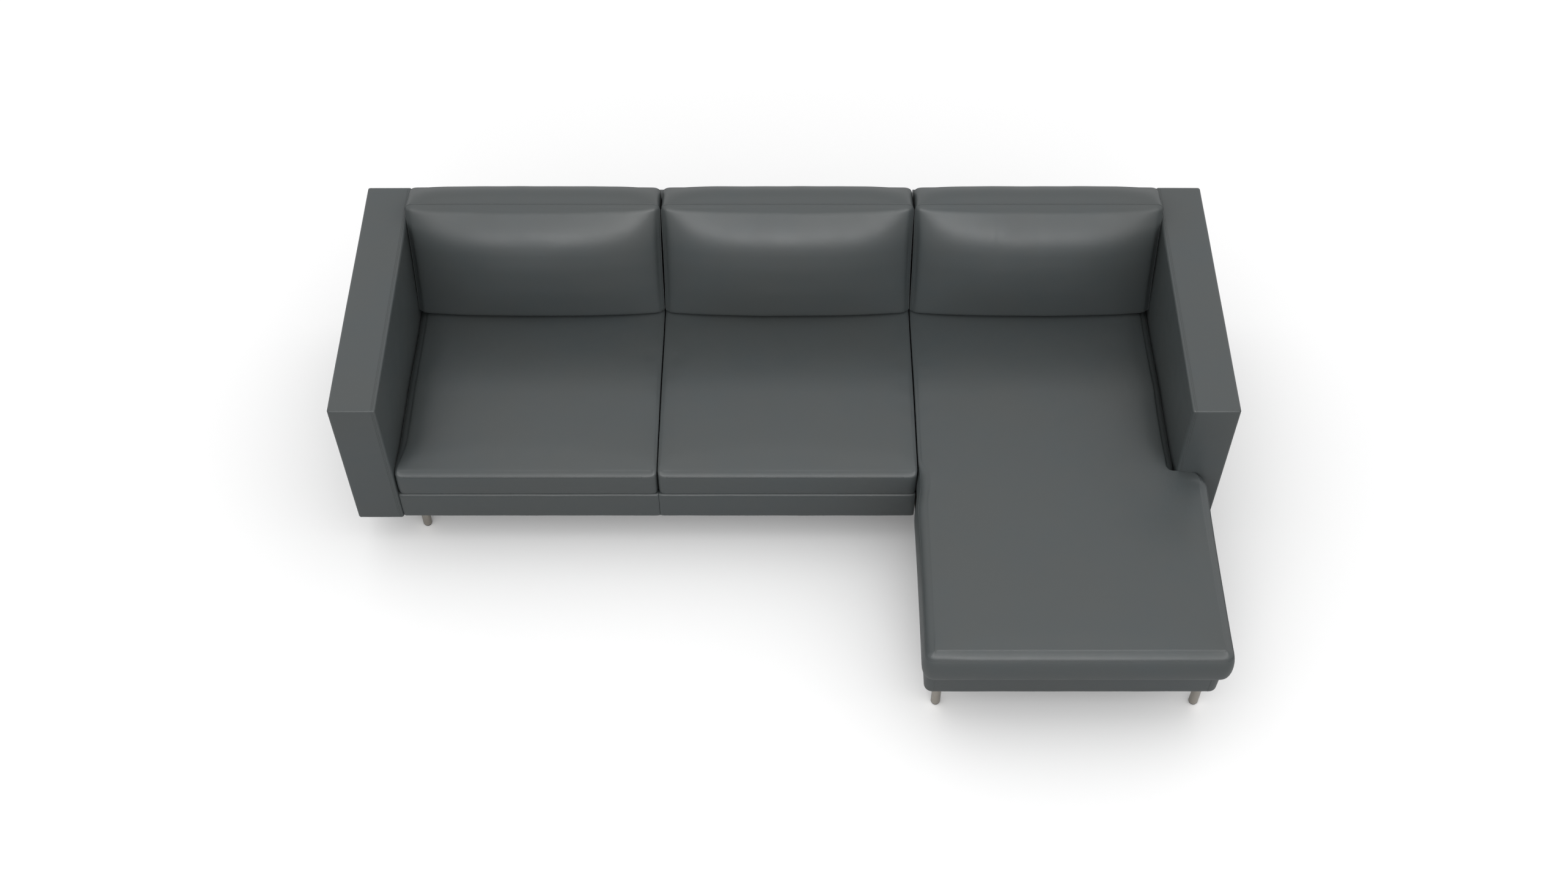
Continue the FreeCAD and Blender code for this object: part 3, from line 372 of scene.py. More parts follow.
def rounded_path(corners, radii, pulls):
    """Points round a closed outline, with the index of the middle of each corner.

    Each radius is the length its corner takes off both sides. Side n runs from
    corner n to the next and is drawn in by its pull.
    """
    corners = np.array(corners, float)
    count, path, middles = len(corners), [], []
    for index in range(count):
        here, radius = corners[index], radii[index]
        back_way = unit(corners[index - 1] - here)
        on_way = unit(corners[(index + 1) % count] - here)
        half = math.acos(np.clip(back_way @ on_way, -1, 1)) / 2
        centre = here + unit(back_way + on_way) * radius / math.cos(half)
        bend = np.array([back_way * radius, on_way * radius]) + here - centre
        angles = np.arctan2(bend[:, 1], bend[:, 0])
        sweep = (angles[1] - angles[0] + math.pi) % (2 * math.pi) - math.pi
        turn = angles[0] + sweep * np.linspace(0, 1, 13)
        reach = np.linalg.norm(bend[0])
        arc = centre + reach * np.stack([np.cos(turn), np.sin(turn)], axis=1)
        middles.append(len(path) + 6)
        path += list(arc)
        after = corners[(index + 1) % count]
        side_end = after - on_way * radii[(index + 1) % count]
        inward = np.array([-on_way[1], on_way[0]])
        steps = max(3, int(np.linalg.norm(side_end - arc[-1]) / ROUTE_STEP))
        for share in np.linspace(0, 1, steps + 1)[1:-1]:
            draw = inward * pulls[index] * 4 * share * (1 - share)
            path.append(arc[-1] + (side_end - arc[-1]) * share + draw)
    return np.array(path), middles


def sampled_loop(path, stops, counts):
    """Even samples of a closed path between stops, with the outward direction at each."""
    closed = np.vstack([path, path[:1]])
    runs = run_lengths(closed)
    total = runs[-1]
    spots = []
    for index, stop in enumerate(stops):
        start, end = runs[stop], runs[stops[(index + 1) % len(stops)]]
        if end <= start:
            end += total
        spots += list(start + (end - start) * np.arange(counts[index]) / counts[index])
    spots = np.array(spots)

    def at(distance):
        wrapped = np.mod(distance, total)
        return np.stack([np.interp(wrapped, runs, closed[:, axis]) for axis in (0, 1)], axis=1)
    ahead = at(spots + 3 * MM) - at(spots - 3 * MM)
    outward = unit(np.stack([ahead[:, 1], -ahead[:, 0]], axis=1))
    return at(spots), outward


def sides_of(loop, columns, rows):
    """The front, right, rear and left of a loop's points, each along its grid axis."""
    closed = np.concatenate([loop, loop[:1]])
    corners = np.cumsum([0, columns, rows, columns, rows])
    front, right, rear, left = [closed[a:b + 1] for a, b in zip(corners, corners[1:])]
    return front, right, rear[::-1], left[::-1]


def patch_inside(loop, columns, rows):
    """A grid of points that fills a loop, by blending its four sides."""
    front, right, rear, left = sides_of(loop, columns, rows)
    s = np.linspace(0, 1, columns + 1)[None, :, None]
    t = np.linspace(0, 1, rows + 1)[:, None, None]
    return ((1 - t) * front[None] + t * rear[None] + (1 - s) * left[:, None] + s * right[:, None]
            - (1 - s) * (1 - t) * front[0] - s * (1 - t) * front[-1]
            - (1 - s) * t * rear[0] - s * t * rear[-1])


# How many cells of the grid an offset at its edge reaches inward
FADE_CELLS = 2.5


def fading_inward(offset, columns, rows):
    """Offsets of a loop's points, fading out over a few cells of the grid inside it."""
    front, right, rear, left = sides_of(offset, columns, rows)
    j, i = np.mgrid[:rows + 1, :columns + 1]
    near = [np.exp(-cells / FADE_CELLS) for cells in (j, columns - i, rows - j, i)]
    sides = [front[None, :], right[:, None], rear[None, :], left[:, None]]
    total = sum(weight * side for weight, side in zip(near, sides))
    return total / np.maximum(sum(near), 1.0)


def closed_form(rings, columns, rows, level, crown):
    """Points and quads of a cushion: rings from the base up, closed by grids below and above.

    level is the height of the top before its crown, as a function of the place.
    """
    ring_count, around = rings.shape[:2]
    points = [point for ring in rings for point in ring]
    faces = skin(ring_count, around, flipped=True, capped=False)
    cells = [(0, i) for i in range(columns)] + [(j, columns) for j in range(rows)]
    cells += [(rows, i) for i in range(columns, 0, -1)] + [(j, 0) for j in range(rows, 0, -1)]
    for ring_number, raised in ((0, False), (ring_count - 1, True)):
        edge = rings[ring_number]
        grid = patch_inside(edge, columns, rows)
        if raised:
            offset = edge[:, 2] - level(edge[:, 0], edge[:, 1])
            grid[:, :, 2] = level(grid[:, :, 0], grid[:, :, 1])
            grid[:, :, 2] += fading_inward(offset, columns, rows)
        index = -np.ones((rows + 1, columns + 1), int)
        for spot, cell in enumerate(cells):
            index[cell] = ring_number * around + spot
        for j in range(1, rows):
            for i in range(1, columns):
                point = grid[j, i].copy()
                if raised:
                    point[2] += crown(point[0], point[1], i / columns, j / rows)
                index[j, i] = len(points)
                points.append(point)
        for j in range(rows):
            for i in range(columns):
                quad = (index[j, i], index[j, i + 1], index[j + 1, i + 1], index[j + 1, i])
                faces.append(quad if raised else quad[::-1])
    return np.array(points), [tuple(int(n) for n in face) for face in faces]


def wave(point, scale, seed):
    """A smooth random value from -1 to 1 at a point."""
    return noise.noise(Vector((point[0] * scale + seed, point[1] * scale, point[2] * scale)))


# Soft simulation

SETTLE_FRAMES = 20
# How many times the movement is evened out between neighbours
SOFTENING = 7


def settle(piece, pinned, pressure, spare, reach):
    """Let a leather cover swell and pucker over its filling, held at its seams.

    pinned is how firmly each point is held, spare the extra length of the leather,
    and reach the furthest that a point may move.
    """
    held = piece.vertex_groups.new(name="held")
    for weight in np.unique(np.round(pinned, 2)):
        chosen = np.nonzero(np.round(pinned, 2) == weight)[0]
        if weight > 0:
            held.add([int(index) for index in chosen], float(weight), "REPLACE")
    modifier = piece.modifiers.new("Cloth", "CLOTH")
    cloth = modifier.settings
    cloth.quality = 4
    cloth.mass = 0.4
    cloth.air_damping = 4.0
    cloth.tension_stiffness = cloth.compression_stiffness = 25.0
    cloth.shear_stiffness = 12.0
    cloth.bending_stiffness = 2.0
    cloth.use_pressure = True
    cloth.uniform_pressure_force = pressure
    cloth.vertex_group_mass = "held"
    cloth.pin_stiffness = 4.0
    cloth.shrink_min = cloth.shrink_max = -spare
    cloth.effector_weights.gravity = 0.0
    modifier.collision_settings.use_collision = False
    modifier.collision_settings.use_self_collision = False
    modifier.point_cache.frame_start = 1
    modifier.point_cache.frame_end = SETTLE_FRAMES
    scene = bpy.context.scene
    for number in range(1, SETTLE_FRAMES + 1):
        scene.frame_set(number)
    shaped = piece.evaluated_get(bpy.context.evaluated_depsgraph_get()).data
    count = len(piece.data.vertices)
    before, after = np.zeros(count * 3), np.zeros(count * 3)
    piece.data.vertices.foreach_get("co", before)
    shaped.vertices.foreach_get("co", after)
    move = (after - before).reshape(-1, 3)
    length = np.linalg.norm(move, axis=1, keepdims=True)
    move *= np.minimum(1.0, reach / np.maximum(length, 1e-9))
    ends = np.zeros(len(piece.data.edges) * 2, int)
    piece.data.edges.foreach_get("vertices", ends)
    first, second = ends.reshape(-1, 2).T
    neighbours = np.bincount(ends, minlength=count)[:, None]
    for _ in range(SOFTENING):
        total = np.zeros_like(move)
        np.add.at(total, first, move[second])
        np.add.at(total, second, move[first])
        move = (move + total / neighbours) / 2
    move *= (1 - pinned)[:, None]
    piece.modifiers.remove(modifier)
    piece.vertex_groups.remove(held)
    piece.data.vertices.foreach_set("co", before + move.ravel())
    piece.data.update()
    scene.frame_set(1)


def smooth_over(piece):
    """Apply one level of subdivision to a piece."""
    modifier = piece.modifiers.new("Subdivision", "SUBSURF")
    modifier.levels = modifier.render_levels = 1
    shaped = piece.evaluated_get(bpy.context.evaluated_depsgraph_get())
    mesh = bpy.data.meshes.new_from_object(shaped)
    piece.modifiers.remove(modifier)
    old = piece.data
    piece.data = mesh
    bpy.data.meshes.remove(old)
    piece.data.shade_smooth()


# Seams and stitches


def tube_along(path, radius, sides=6, closed=False):
    """Points and quads of a thin tube along a path."""
    path = np.array(path, float)
    ahead = np.roll(path, -1, axis=0) - np.roll(path, 1, axis=0)
    if not closed:
        ahead[0], ahead[-1] = path[1] - path[0], path[-1] - path[-2]
    ahead = unit(ahead)
    side = unit(np.cross(ahead, np.array([0.31, 0.23, 0.92])))
    up = np.cross(side, ahead)
    turn = np.linspace(0, 2 * math.pi, sides, endpoint=False)
    rings = [path + radius * (math.cos(a) * side + math.sin(a) * up) for a in turn]
    points = np.stack(rings, axis=1).reshape(-1, 3)
    return points, skin(len(path), sides, closed=closed)


def walk(path, pitch, closed=False):
    """Points along a path an even pitch apart."""
    path = np.array(path, float)
    if closed:
        path = np.vstack([path, path[:1]])
    runs = run_lengths(path)
    spots = np.arange(0, runs[-1], pitch)
    return np.stack([np.interp(spots, runs, path[:, axis]) for axis in range(3)], axis=1)


class Sewing:
    """Gathers the welts and stitches of one piece, then makes them one object each."""

    def __init__(self, piece):
        self.piece = piece
        mesh = piece.data
        verts = [vert.co.copy() for vert in mesh.vertices]
        self.tree = BVHTree.FromPolygons(verts, [tuple(p.vertices) for p in mesh.polygons])
        self.welts, self.threads = [], []

    def on_surface(self, path, rise):
        """The path laid on the piece, that much above it."""
        laid = []
        for point in path:
            spot, normal, _, _ = self.tree.find_nearest(Vector(point))
            laid.append(np.array(spot + normal * rise))
        return np.array(laid)

    def welt(self, path, radius, rise=0.0, closed=False):
        """A thin raised fold of leather along a seam."""
        laid = self.on_surface(walk(path, 5 * MM, closed), rise)
        self.welts.append(tube_along(laid, radius, closed=closed))

    def stitch(self, path):
        """A row of stitches along a path."""
        ends = self.on_surface(walk(path, STITCH_PITCH / 2), STITCH_RADIUS * 0.5)
        for first, second in zip(ends[0::2], ends[1::2]):
            middle, reach = (first + second) / 2, (second - first) / 2
            reach = unit(reach) * STITCH_LENGTH / 2
            line = [middle + reach * share for share in (-1, -0.6, 0.6, 1)]
            points, faces = tube_along(line, STITCH_RADIUS, sides=4)
            points[:4] = line[0] + (points[:4] - line[0]) * 0.4
            points[-4:] = line[-1] + (points[-4:] - line[-1]) * 0.4
            self.threads.append((points, faces))

    def make(self, body):
        """Make the objects, which ride with the piece."""
        name = self.piece.name
        for kind, runs, material in (("welts", self.welts, LEATHER_SKIN),
                                     ("stitches", self.threads, THREADS)):
            points, faces = [], []
            for run_points, run_faces in runs:
                base = len(points)
                points += list(run_points)
                faces += [tuple(index + base for index in face) for face in run_faces]
            if points:
                finish_mesh(name + "_" + kind, points, faces, material, body)


# Cushions

SEAT_SEAM = 94.5 * MM
SEAT_CROWN = 11 * MM
EDGE_ROLL = 7 * MM
EDGE_ROLL_REACH = 30 * MM
SEAM_RING = 10
FREE_SHOULDER = 26 * MM
CHAISE_SHOULDER = 38 * MM
CLOSE_SHOULDER = 10 * MM
ARM_SHOULDER = 36 * MM
SHOULDER_ANGLES = [math.radians(angle) for angle in (25, 37, 50, 62, 74)]
SHOULDER_RISE = math.sin(SHOULDER_ANGLES[-1]) - math.sin(SHOULDER_ANGLES[0])
SEAT_EDGE_RISE = 9 * MM
SEAT_CORNER = 13 * MM
ARM_SINK = 9 * MM
REAR_DIP = 20 * MM
REAR_DIP_START = 0.18
REAR_DIP_END = 0.53
GRID_STEP = 13 * MM


def smooth_step(values, start, end):
    """0 at the start and 1 at the end, smoothly."""
    share = np.clip((values - start) / (end - start), 0, 1)
    return share * share * (3 - 2 * share)


def roll(distance):
    """How far the top panel has risen at a distance from a free edge, as a share."""
    return 1 - np.exp(-np.maximum(distance, 0) / EDGE_ROLL_REACH)


def seat_level(base, y, share):
    """Height of a seat's top panel before its crown. share is the roll at the free edges."""
    dip = REAR_DIP * smooth_step(y, REAR_DIP_START, REAR_DIP_END)
    return base + SEAT_SEAM + SEAT_EDGE_RISE + EDGE_ROLL * share - dip


def ring_of(loop, outward, inset, height):
    """A loop drawn in by an inset and set at a height."""
    flat = loop - outward * np.reshape(inset, (-1, 1))
    return np.column_stack([flat, np.broadcast_to(height, len(loop))])


def ring_points(piece, number, around):
    """Where the points of a ring of a cushion are."""
    return np.array([piece.data.vertices[number * around + k].co for k in range(around)])


def seat_rings(loop, outward, shoulder, top, base, swell, pull):
    """Rings of a seat cushion from its underside to the shoulder of its top panel.

    shoulder is the rounding of the top edge, top the height it reaches, swell the bulge of
    the side and pull how far its seam is drawn in, each given for every point of the loop.
    """
    rings = []

    def ring(inset, height):
        rings.append(ring_of(loop, outward, inset, height))
    for inset, height in ((12, 0), (6, 0.6), (2.5, 3), (0.8, 7)):
        ring(inset * MM, base + height * MM)
    seam = top - shoulder * SHOULDER_RISE
    for share in (0.2, 0.35, 0.5, 0.65, 0.8, 0.94):
        inset = 0.6 * MM - swell * 4 * share * (1 - share) + pull * share ** 2.5
        ring(inset, base + (seam - base) * share)
    for number, turn in enumerate(SHOULDER_ANGLES):
        inset = shoulder * (math.cos(SHOULDER_ANGLES[0]) - math.cos(turn))
        height = shoulder * (math.sin(turn) - math.sin(SHOULDER_ANGLES[0]))
        ring((1.6 * MM if number == 0 else 0.4 * MM) + inset + pull, seam + height)
    return np.array(rings)


def seat_crown(across, along, rise_end, fall_start, fall_end):
    """Height of a seat's crown at shares of its width and depth."""
    rise = math.sin(math.pi / 2 * min(1.0, max(0.0, along) / rise_end)) ** 0.7
    rise *= 1 - min(1.0, max(0.0, (along - fall_start) / (fall_end - fall_start))) ** 2
    return SEAT_CROWN * max(0.0, 1 - (2 * across - 1) ** 2) ** 0.6 * rise


def finish_seat(piece, around, first_free, last_free):
    """Let the cover settle, then sew its seam, with stitches along the free stretch."""
    count = len(piece.data.vertices)
    pinned = np.zeros(count)
    pinned[:6 * around] = 1.0
    pinned[SEAM_RING * around:(SEAM_RING + 1) * around] = 0.9
    settle(piece, pinned, 1.2, 0.003, 3 * MM)
    seam = ring_points(piece, SEAM_RING, around)
    smooth_over(piece)
    sewing = Sewing(piece)
    sewing.welt(seam, 0.6 * MM, closed=True)
    free = [seam[k % around] for k in range(first_free, last_free)]
    sewing.welt(free, 1.0 * MM)
    for shift in (-3.4 * MM, 3.2 * MM):
        sewing.stitch([point + np.array([0, 0, shift]) for point in free])
    return sewing


def seat_cushion(name, arm_side, seed):
    """A seat cushion: a crowned top panel over a boxing, pinched along its seams.

    arm_side is the side of the arm beside it, -1 or 1, or 0 with no arm beside it.
    """
    body = name + "_cushion"
    corner_low, corner_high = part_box(name + "_cover")
    width, depth = corner_high.x - corner_low.x, corner_high.y - corner_low.y
    x = (corner_low.x - 0.4 * MM, corner_high.x + 0.4 * MM)
    y = (corner_low.y + 2 * MM, corner_high.y)
    corners = [(x[0], y[0]), (x[1], y[0]), (x[1], y[1]), (x[0], y[1])]
    path, middles = rounded_path(corners, [SEAT_CORNER] * 4, [0, 0.5 * MM, 0, 0.5 * MM])
    columns, rows = round(width / GRID_STEP), round(depth / GRID_STEP)
    loop, outward = sampled_loop(path, middles, (columns, rows, columns, rows))
    by_arm = np.clip(outward[:, 0] * arm_side, 0, 1) * smooth_step(loop[:, 1], y[0], y[0] + 0.14)
    facing = np.clip(-outward[:, 1], 0, 1)
    shoulder = CLOSE_SHOULDER + (FREE_SHOULDER - CLOSE_SHOULDER) * facing
    shoulder = shoulder + (ARM_SHOULDER - CLOSE_SHOULDER) * by_arm

    def level(px, py):
        return seat_level(corner_low.z, py, roll(py - y[0]))
    top = level(loop[:, 0], loop[:, 1]) - ARM_SINK * by_arm
    rings = seat_rings(loop, outward, shoulder, top, corner_low.z, 3 * MM * facing, 0.0)

    def crown(px, py, s, t):
        return seat_crown(s, t, 0.5, 0.35, 0.83) + 0.8 * MM * wave((px, py, 0), 5.0, seed)
    points, faces = closed_form(rings, columns, rows, level, crown)
    piece = finish_mesh(name, points, faces, LEATHER_SKIN, body)
    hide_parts(name + "_cover", name + "_core")
    finish_seat(piece, len(loop), 2, columns - 2).make(body)


CHAISE_PULL = 12 * MM
CHAISE_BUMP = 13 * MM
CHAISE_BUMP_WIDTH = 120 * MM
CHAISE_LIFT = 8 * MM


def chaise_cushion():
    """The T-shaped cushion of the chaise, which bulges up round the corner of the arm."""
    node, body = "chaise_cushion_cover", "chaise_seat_cushion"
    corner_low, corner_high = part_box(node)
    rear_left, rear_right = low("right_back_cushion").x, high("right_back_cushion").x
    ear = low("right_arm_cover").y - CUSHION_GAP
    step = 34 * MM
    front, left, right = corner_low.y, corner_low.x, corner_high.x
    corners = [(left, front), (right, front), (right, ear), (rear_right, ear),
               (rear_right, corner_high.y), (rear_left, corner_high.y),
               (rear_left, ear - step), (left, ear - 3 * step)]
    radii = [34 * MM, 34 * MM, 40 * MM, 12 * MM, 20 * MM, 20 * MM, 17 * MM, 17 * MM]
    pulls = [0, 1 * MM, 0, 0.5 * MM, 0, 0.5 * MM, 0, 1 * MM]
    path, middles = rounded_path(corners, radii, pulls)
    stops = [middles[k] for k in (0, 1, 4, 5)]
    columns, rows = round((right - left) / GRID_STEP), round((corner_high.y - front) / GRID_STEP)
    loop, outward = sampled_loop(path, stops, (columns, rows, columns, rows))
    behind = smooth_step(loop[:, 1], ear - 2 * MM, ear + 60 * MM)
    by_arm = np.clip(outward[:, 0], 0, 1) * behind
    free = np.clip(-outward[:, 1], 0, 1) + np.abs(outward[:, 0]) * (1 - behind)
    free = np.clip(free, 0, 1) * (loop[:, 1] < ear + 50 * MM)
    shoulder = CLOSE_SHOULDER + (CHAISE_SHOULDER - CLOSE_SHOULDER) * free
    shoulder = shoulder + (ARM_SHOULDER - CLOSE_SHOULDER) * by_arm

    def level(px, py):
        aside = 1 - smooth_step(py, ear - 60 * MM, ear + 10 * MM)
        share = roll(py - front)
        share = share * (1 - aside * (1 - roll(right - px))) * (1 - aside * (1 - roll(px - left)))
        reach = np.hypot(px - rear_right - 20 * MM, py - ear)
        bump = CHAISE_BUMP * np.exp(-(reach / CHAISE_BUMP_WIDTH) ** 2)
        return seat_level(corner_low.z, py, share) + bump
    offset = CHAISE_LIFT * free - ARM_SINK * by_arm
    for _ in range(6):
        offset = (offset + (np.roll(offset, 1) + np.roll(offset, -1)) / 2) / 2
    top = level(loop[:, 0], loop[:, 1]) + offset
    rings = seat_rings(loop, outward, shoulder, top, corner_low.z, 4 * MM * free,
                       CHAISE_PULL * np.clip(-outward[:, 1], 0.4, 1) * free)

    def crown(px, py, s, t):
        across, along = (px - left) / (right - left), (py - front) / (corner_high.y - front)
        height = seat_crown(across, along, 0.3, 0.6, 0.9)
        return height + 0.8 * MM * wave((px, py, 0), 4.0, 7.0)
    points, faces = closed_form(rings, columns, rows, level, crown)
    piece = finish_mesh("chaise_seat", points, faces, LEATHER_SKIN, body)
    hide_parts(node, "chaise_cushion_core")
    side = round(rows * 0.44)
    finish_seat(piece, len(loop), -side, columns + side).make(body)


BACK_PUFF = 23 * MM
BACK_FACE = 425 * MM
BACK_SEAM_RISE = 10.5 * MM
BACK_STAND = 29 * MM
STAND_FADE = 6 * MM
# Bulge of the front panel at places down its middle, as (place, height)
BACK_PROFILE = [(0, 0), (95, 50), (135, 60), (200, 60), (300, 49), (425, 24)]


def back_bulge(place):
    """Bulge of a back cushion's front panel above its shoulder, at a place down it."""
    places, heights = np.array(BACK_PROFILE).T * MM
    return np.mean([np.interp(place + shift * MM, places, heights)
                    for shift in (-18, -9, 0, 9, 18)])


def back_cushion(side, seat_node, seed, creases):
    """A loose back cushion: a full front panel, pinched corners and a soft top.

    creases are shallow folds, each as (place across, share of the height, depth).
    """
    node = side + "_back_cushion"
    corner_low, corner_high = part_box(node)
    width = corner_high.x - corner_low.x
    middle_x = (corner_low.x + corner_high.x) / 2
    rear_y, rear_z = corner_high.y, high("sofa_back_cover").z + BACK_RISE
    half = width / 2
    corners = [(-half, 0), (half, 0), (half, BACK_FACE), (-half, BACK_FACE)]
    path, middles = rounded_path(corners, [20 * MM] * 4, [0, 2 * MM, 0, 2 * MM])
    columns, rows = round(width / GRID_STEP), round(BACK_FACE / GRID_STEP)
    loop, outward = sampled_loop(path, middles, (columns, rows, columns, rows))
    across = loop[:, 0] / half
    is_top = np.clip(-outward[:, 1], 0, 1) * np.maximum(0, 1 - np.abs(across) ** 6)
    is_side = np.clip(np.abs(outward[:, 0]), 0, 1)
    wobble = np.array([wave((a, b, 0), 11.0, seed) for a, b in loop])
    rings = []

    def ring(inset, height):
        rings.append(ring_of(loop, outward, inset, height))
    for inset, height in ((14, 0.5), (7, 1.5), (2.5, 5), (0.8, 10)):
        ring(inset * MM, height * MM)
    for share in (0.2, 0.35, 0.5, 0.65, 0.8, 0.9):
        bulge = 4 * share * (1 - share)
        inset = 1 * MM * is_side * bulge - BACK_PUFF * is_top * bulge
        ring(inset + 0.8 * MM - 1.5 * MM * wobble * bulge, BACK_BOXING * share)
    ring(0.6 * MM, BACK_BOXING)
    for inset, height in ((3, 2.6), (7, 6.5), (12, BACK_SEAM_RISE / MM)):
        ring(inset * MM + 0.8 * MM * wobble, BACK_BOXING + height * MM)
    rings = np.array(rings)

    def level(px, py):
        return np.full(np.shape(px), BACK_BOXING + BACK_SEAM_RISE)

    def crown(px, py, s, t):
        round_off = max(0.0, 1 - abs(2 * s - 1) ** 2.4) ** 0.62
        height = back_bulge(py) * round_off
        for place, reach, depth in creases:
            near = math.exp(-((px - place) / (9 * MM)) ** 2)
            height -= depth * near * math.exp(-((t - reach) / 0.16) ** 2)
        return height + 1.6 * MM * wave((px, py, 0), 6.0, seed) * round_off
    points, faces = closed_form(rings, columns, rows, level, crown)
    lean_sin, lean_cos = math.sin(BACK_LEAN), math.cos(BACK_LEAN)
    turned = np.stack([middle_x - points[:, 0],
                       rear_y - lean_sin * points[:, 1] - lean_cos * points[:, 2],
                       rear_z - lean_cos * points[:, 1] + lean_sin * points[:, 2]], axis=1)
    stand = high(seat_node).z - BACK_STAND
    fade_top = stand + STAND_FADE
    turned[:, 2] = np.where(turned[:, 2] < fade_top,
                            stand + STAND_FADE * np.exp((turned[:, 2] - fade_top) / STAND_FADE),
                            turned[:, 2])
    body = side + "_back_pillow"
    piece = finish_mesh(side + "_back", turned, faces, LEATHER_SKIN, body)
    ring_size = len(loop)
    pinned = np.zeros(len(points))
    pinned[:4 * ring_size] = 1.0
    pinned[SEAM_RING * ring_size:(SEAM_RING + 1) * ring_size] = 0.9
    pinned[turned[:, 2] < stand + 8 * MM] = 1.0
    settle(piece, pinned, 1.3, 0.0, 3 * MM)
    seam, rear_seam = [ring_points(piece, number, ring_size) for number in (SEAM_RING, 3)]
    smooth_over(piece)
    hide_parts(node)
    sewing = Sewing(piece)
    sewing.welt(seam, 1.3 * MM, 0.3 * MM, closed=True)
    sewing.welt(rear_seam, 0.9 * MM, closed=True)
    sewing.make(body)


# Arms, rails and backs


def padded_box(name, node, body, radius, swell, step, material, soft=0.0):
    """A padded box in the place of a CAD node."""
    corner_low, corner_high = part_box(node)
    box = PaddedBox(corner_low, corner_high, radius, swell, soft)
    points, faces = weld(box.patches(step))
    piece = finish_mesh(name, points, faces, material, body)
    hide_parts(node)
    return piece, box


def arm(side, body, inner_sign):
    """An arm: leather over thin foam, top-stitched along its inner and front edges."""
    swell = {(0, True): 1.5 * MM, (0, False): 1.5 * MM, (1, False): 2.5 * MM, (2, True): 1.5 * MM}
    swell[(0, inner_sign > 0)] = 0.4 * MM
    piece, box = padded_box(side + "_arm", side + "_arm_cover", body, ARM_ROUND, swell, 14 * MM,
                            LEATHER_SKIN, soft=0.6 * MM)
    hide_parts(side + "_arm_padding")
    inner = (box.high if inner_sign > 0 else box.low)[0] - inner_sign * 9 * MM
    front, rear, top, foot = box.low[1], box.high[1], box.high[2], box.low[2]
    sewing = Sewing(piece)
    seam = box.route([(inner, rear, foot), (inner, rear, top), (inner, front, top),
                      (inner, front, foot)])
    sewing.welt(seam, 1.2 * MM)
    beside = inner - inner_sign * 4 * MM
    sewing.stitch(box.route([(beside, rear, top), (beside, front, top), (beside, front, foot)]))
    ends = (box.low[0] + 2 * MM, inner) if inner_sign > 0 else (inner, box.high[0] - 2 * MM)
    sewing.welt(box.route([(x, front + 3 * MM, top) for x in ends]), 1.0 * MM)
    rear_cross = box.route([(box.low[0], rear - 3 * MM, top), (box.high[0], rear - 3 * MM, top)])
    sewing.welt(rear_cross, 0.9 * MM)
    sewing.make(body)


def cover_section(height_low, height_high):
    """Section of a rail cover as (inset, height) pairs: padded outside, turned in at both edges."""
    turn = [math.radians(angle) for angle in (0, 22.5, 45, 67.5, 90)]
    outer = [(RAIL_ROUND * (1 - math.sin(a)), height_low + RAIL_ROUND * (1 - math.cos(a)))
             for a in turn]
    top = [(RAIL_ROUND * (1 - math.cos(a)), height_high - RAIL_ROUND * (1 - math.sin(a)))
           for a in turn]
    face = [(0.0, height) for height in spread(outer[-1][1], top[0][1], 12 * MM)[1:-1]]
    inside = [(RAIL_FLANGE, height_high), (RAIL_FLANGE, height_high - RAIL_WALL),
              (RAIL_WALL, height_high - RAIL_WALL), (RAIL_WALL, height_low + 3 * MM),
              (RAIL_FLANGE, height_low + 3 * MM), (RAIL_FLANGE, height_low)]
    return np.array(outer + face + top + inside)


def sweep_cover(name, node, body, path, outward, ends, seed):
    """A rail cover swept along a plan path. ends tells which ends are tucked into a seam."""
    corner_low, corner_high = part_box(node)
    section = cover_section(corner_low.z, corner_high.z)
    runs = run_lengths(path)
    from_end = np.minimum(runs if ends[0] else np.inf, runs[-1] - runs if ends[1] else np.inf)
    tuck = 2.2 * MM * np.exp(-(from_end / (5 * MM)) ** 2)
    middle = (corner_low.z + corner_high.z) / 2
    half = (corner_high.z - corner_low.z) / 2
    grid = np.zeros((len(path), len(section), 3))
    for i, (spot, out) in enumerate(zip(path, outward)):
        for k, (inset, height) in enumerate(section):
            extra = 0.0
            if inset < RAIL_ROUND:
                level = (height - middle) / half
                soft = 1.3 * MM * (1 - level ** 2) + 0.7 * MM * wave((*spot, height), 9.0, seed)
                extra = soft * (1 - inset / RAIL_ROUND) - tuck[i]
            flat = spot + out * (extra - inset)
            grid[i, k] = (flat[0], flat[1], height)
    piece = finish_mesh(name, grid.reshape(-1, 3), skin(len(path), len(section)), LEATHER_SKIN,
                        body)
    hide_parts(node)
    return piece


def straight_cover(side, seed):
    """A cover along the front rail."""
    node, body = "sofa_front_cover_" + side, "sofa_module"
    corner_low, corner_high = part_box(node)
    xs = spread(corner_low.x + 0.3 * MM, corner_high.x - 0.3 * MM, 16 * MM)
    near_ends = [2 * MM, 4 * MM, 7 * MM]
    xs = sorted(xs[:1] + [xs[0] + gap for gap in near_ends] + xs[1:-1]
                + [xs[-1] - gap for gap in near_ends] + xs[-1:])
    path = np.array([(x, corner_low.y) for x in xs])
    outward = np.tile([0.0, -1.0], (len(path), 1))
    piece = sweep_cover("sofa_front_" + side, node, body, path, outward, (True, True), seed)
    sewing = Sewing(piece)
    sewing.stitch([(x, corner_low.y - 1 * MM, corner_high.z - 9 * MM) for x in xs[2:-2]])
    sewing.make(body)


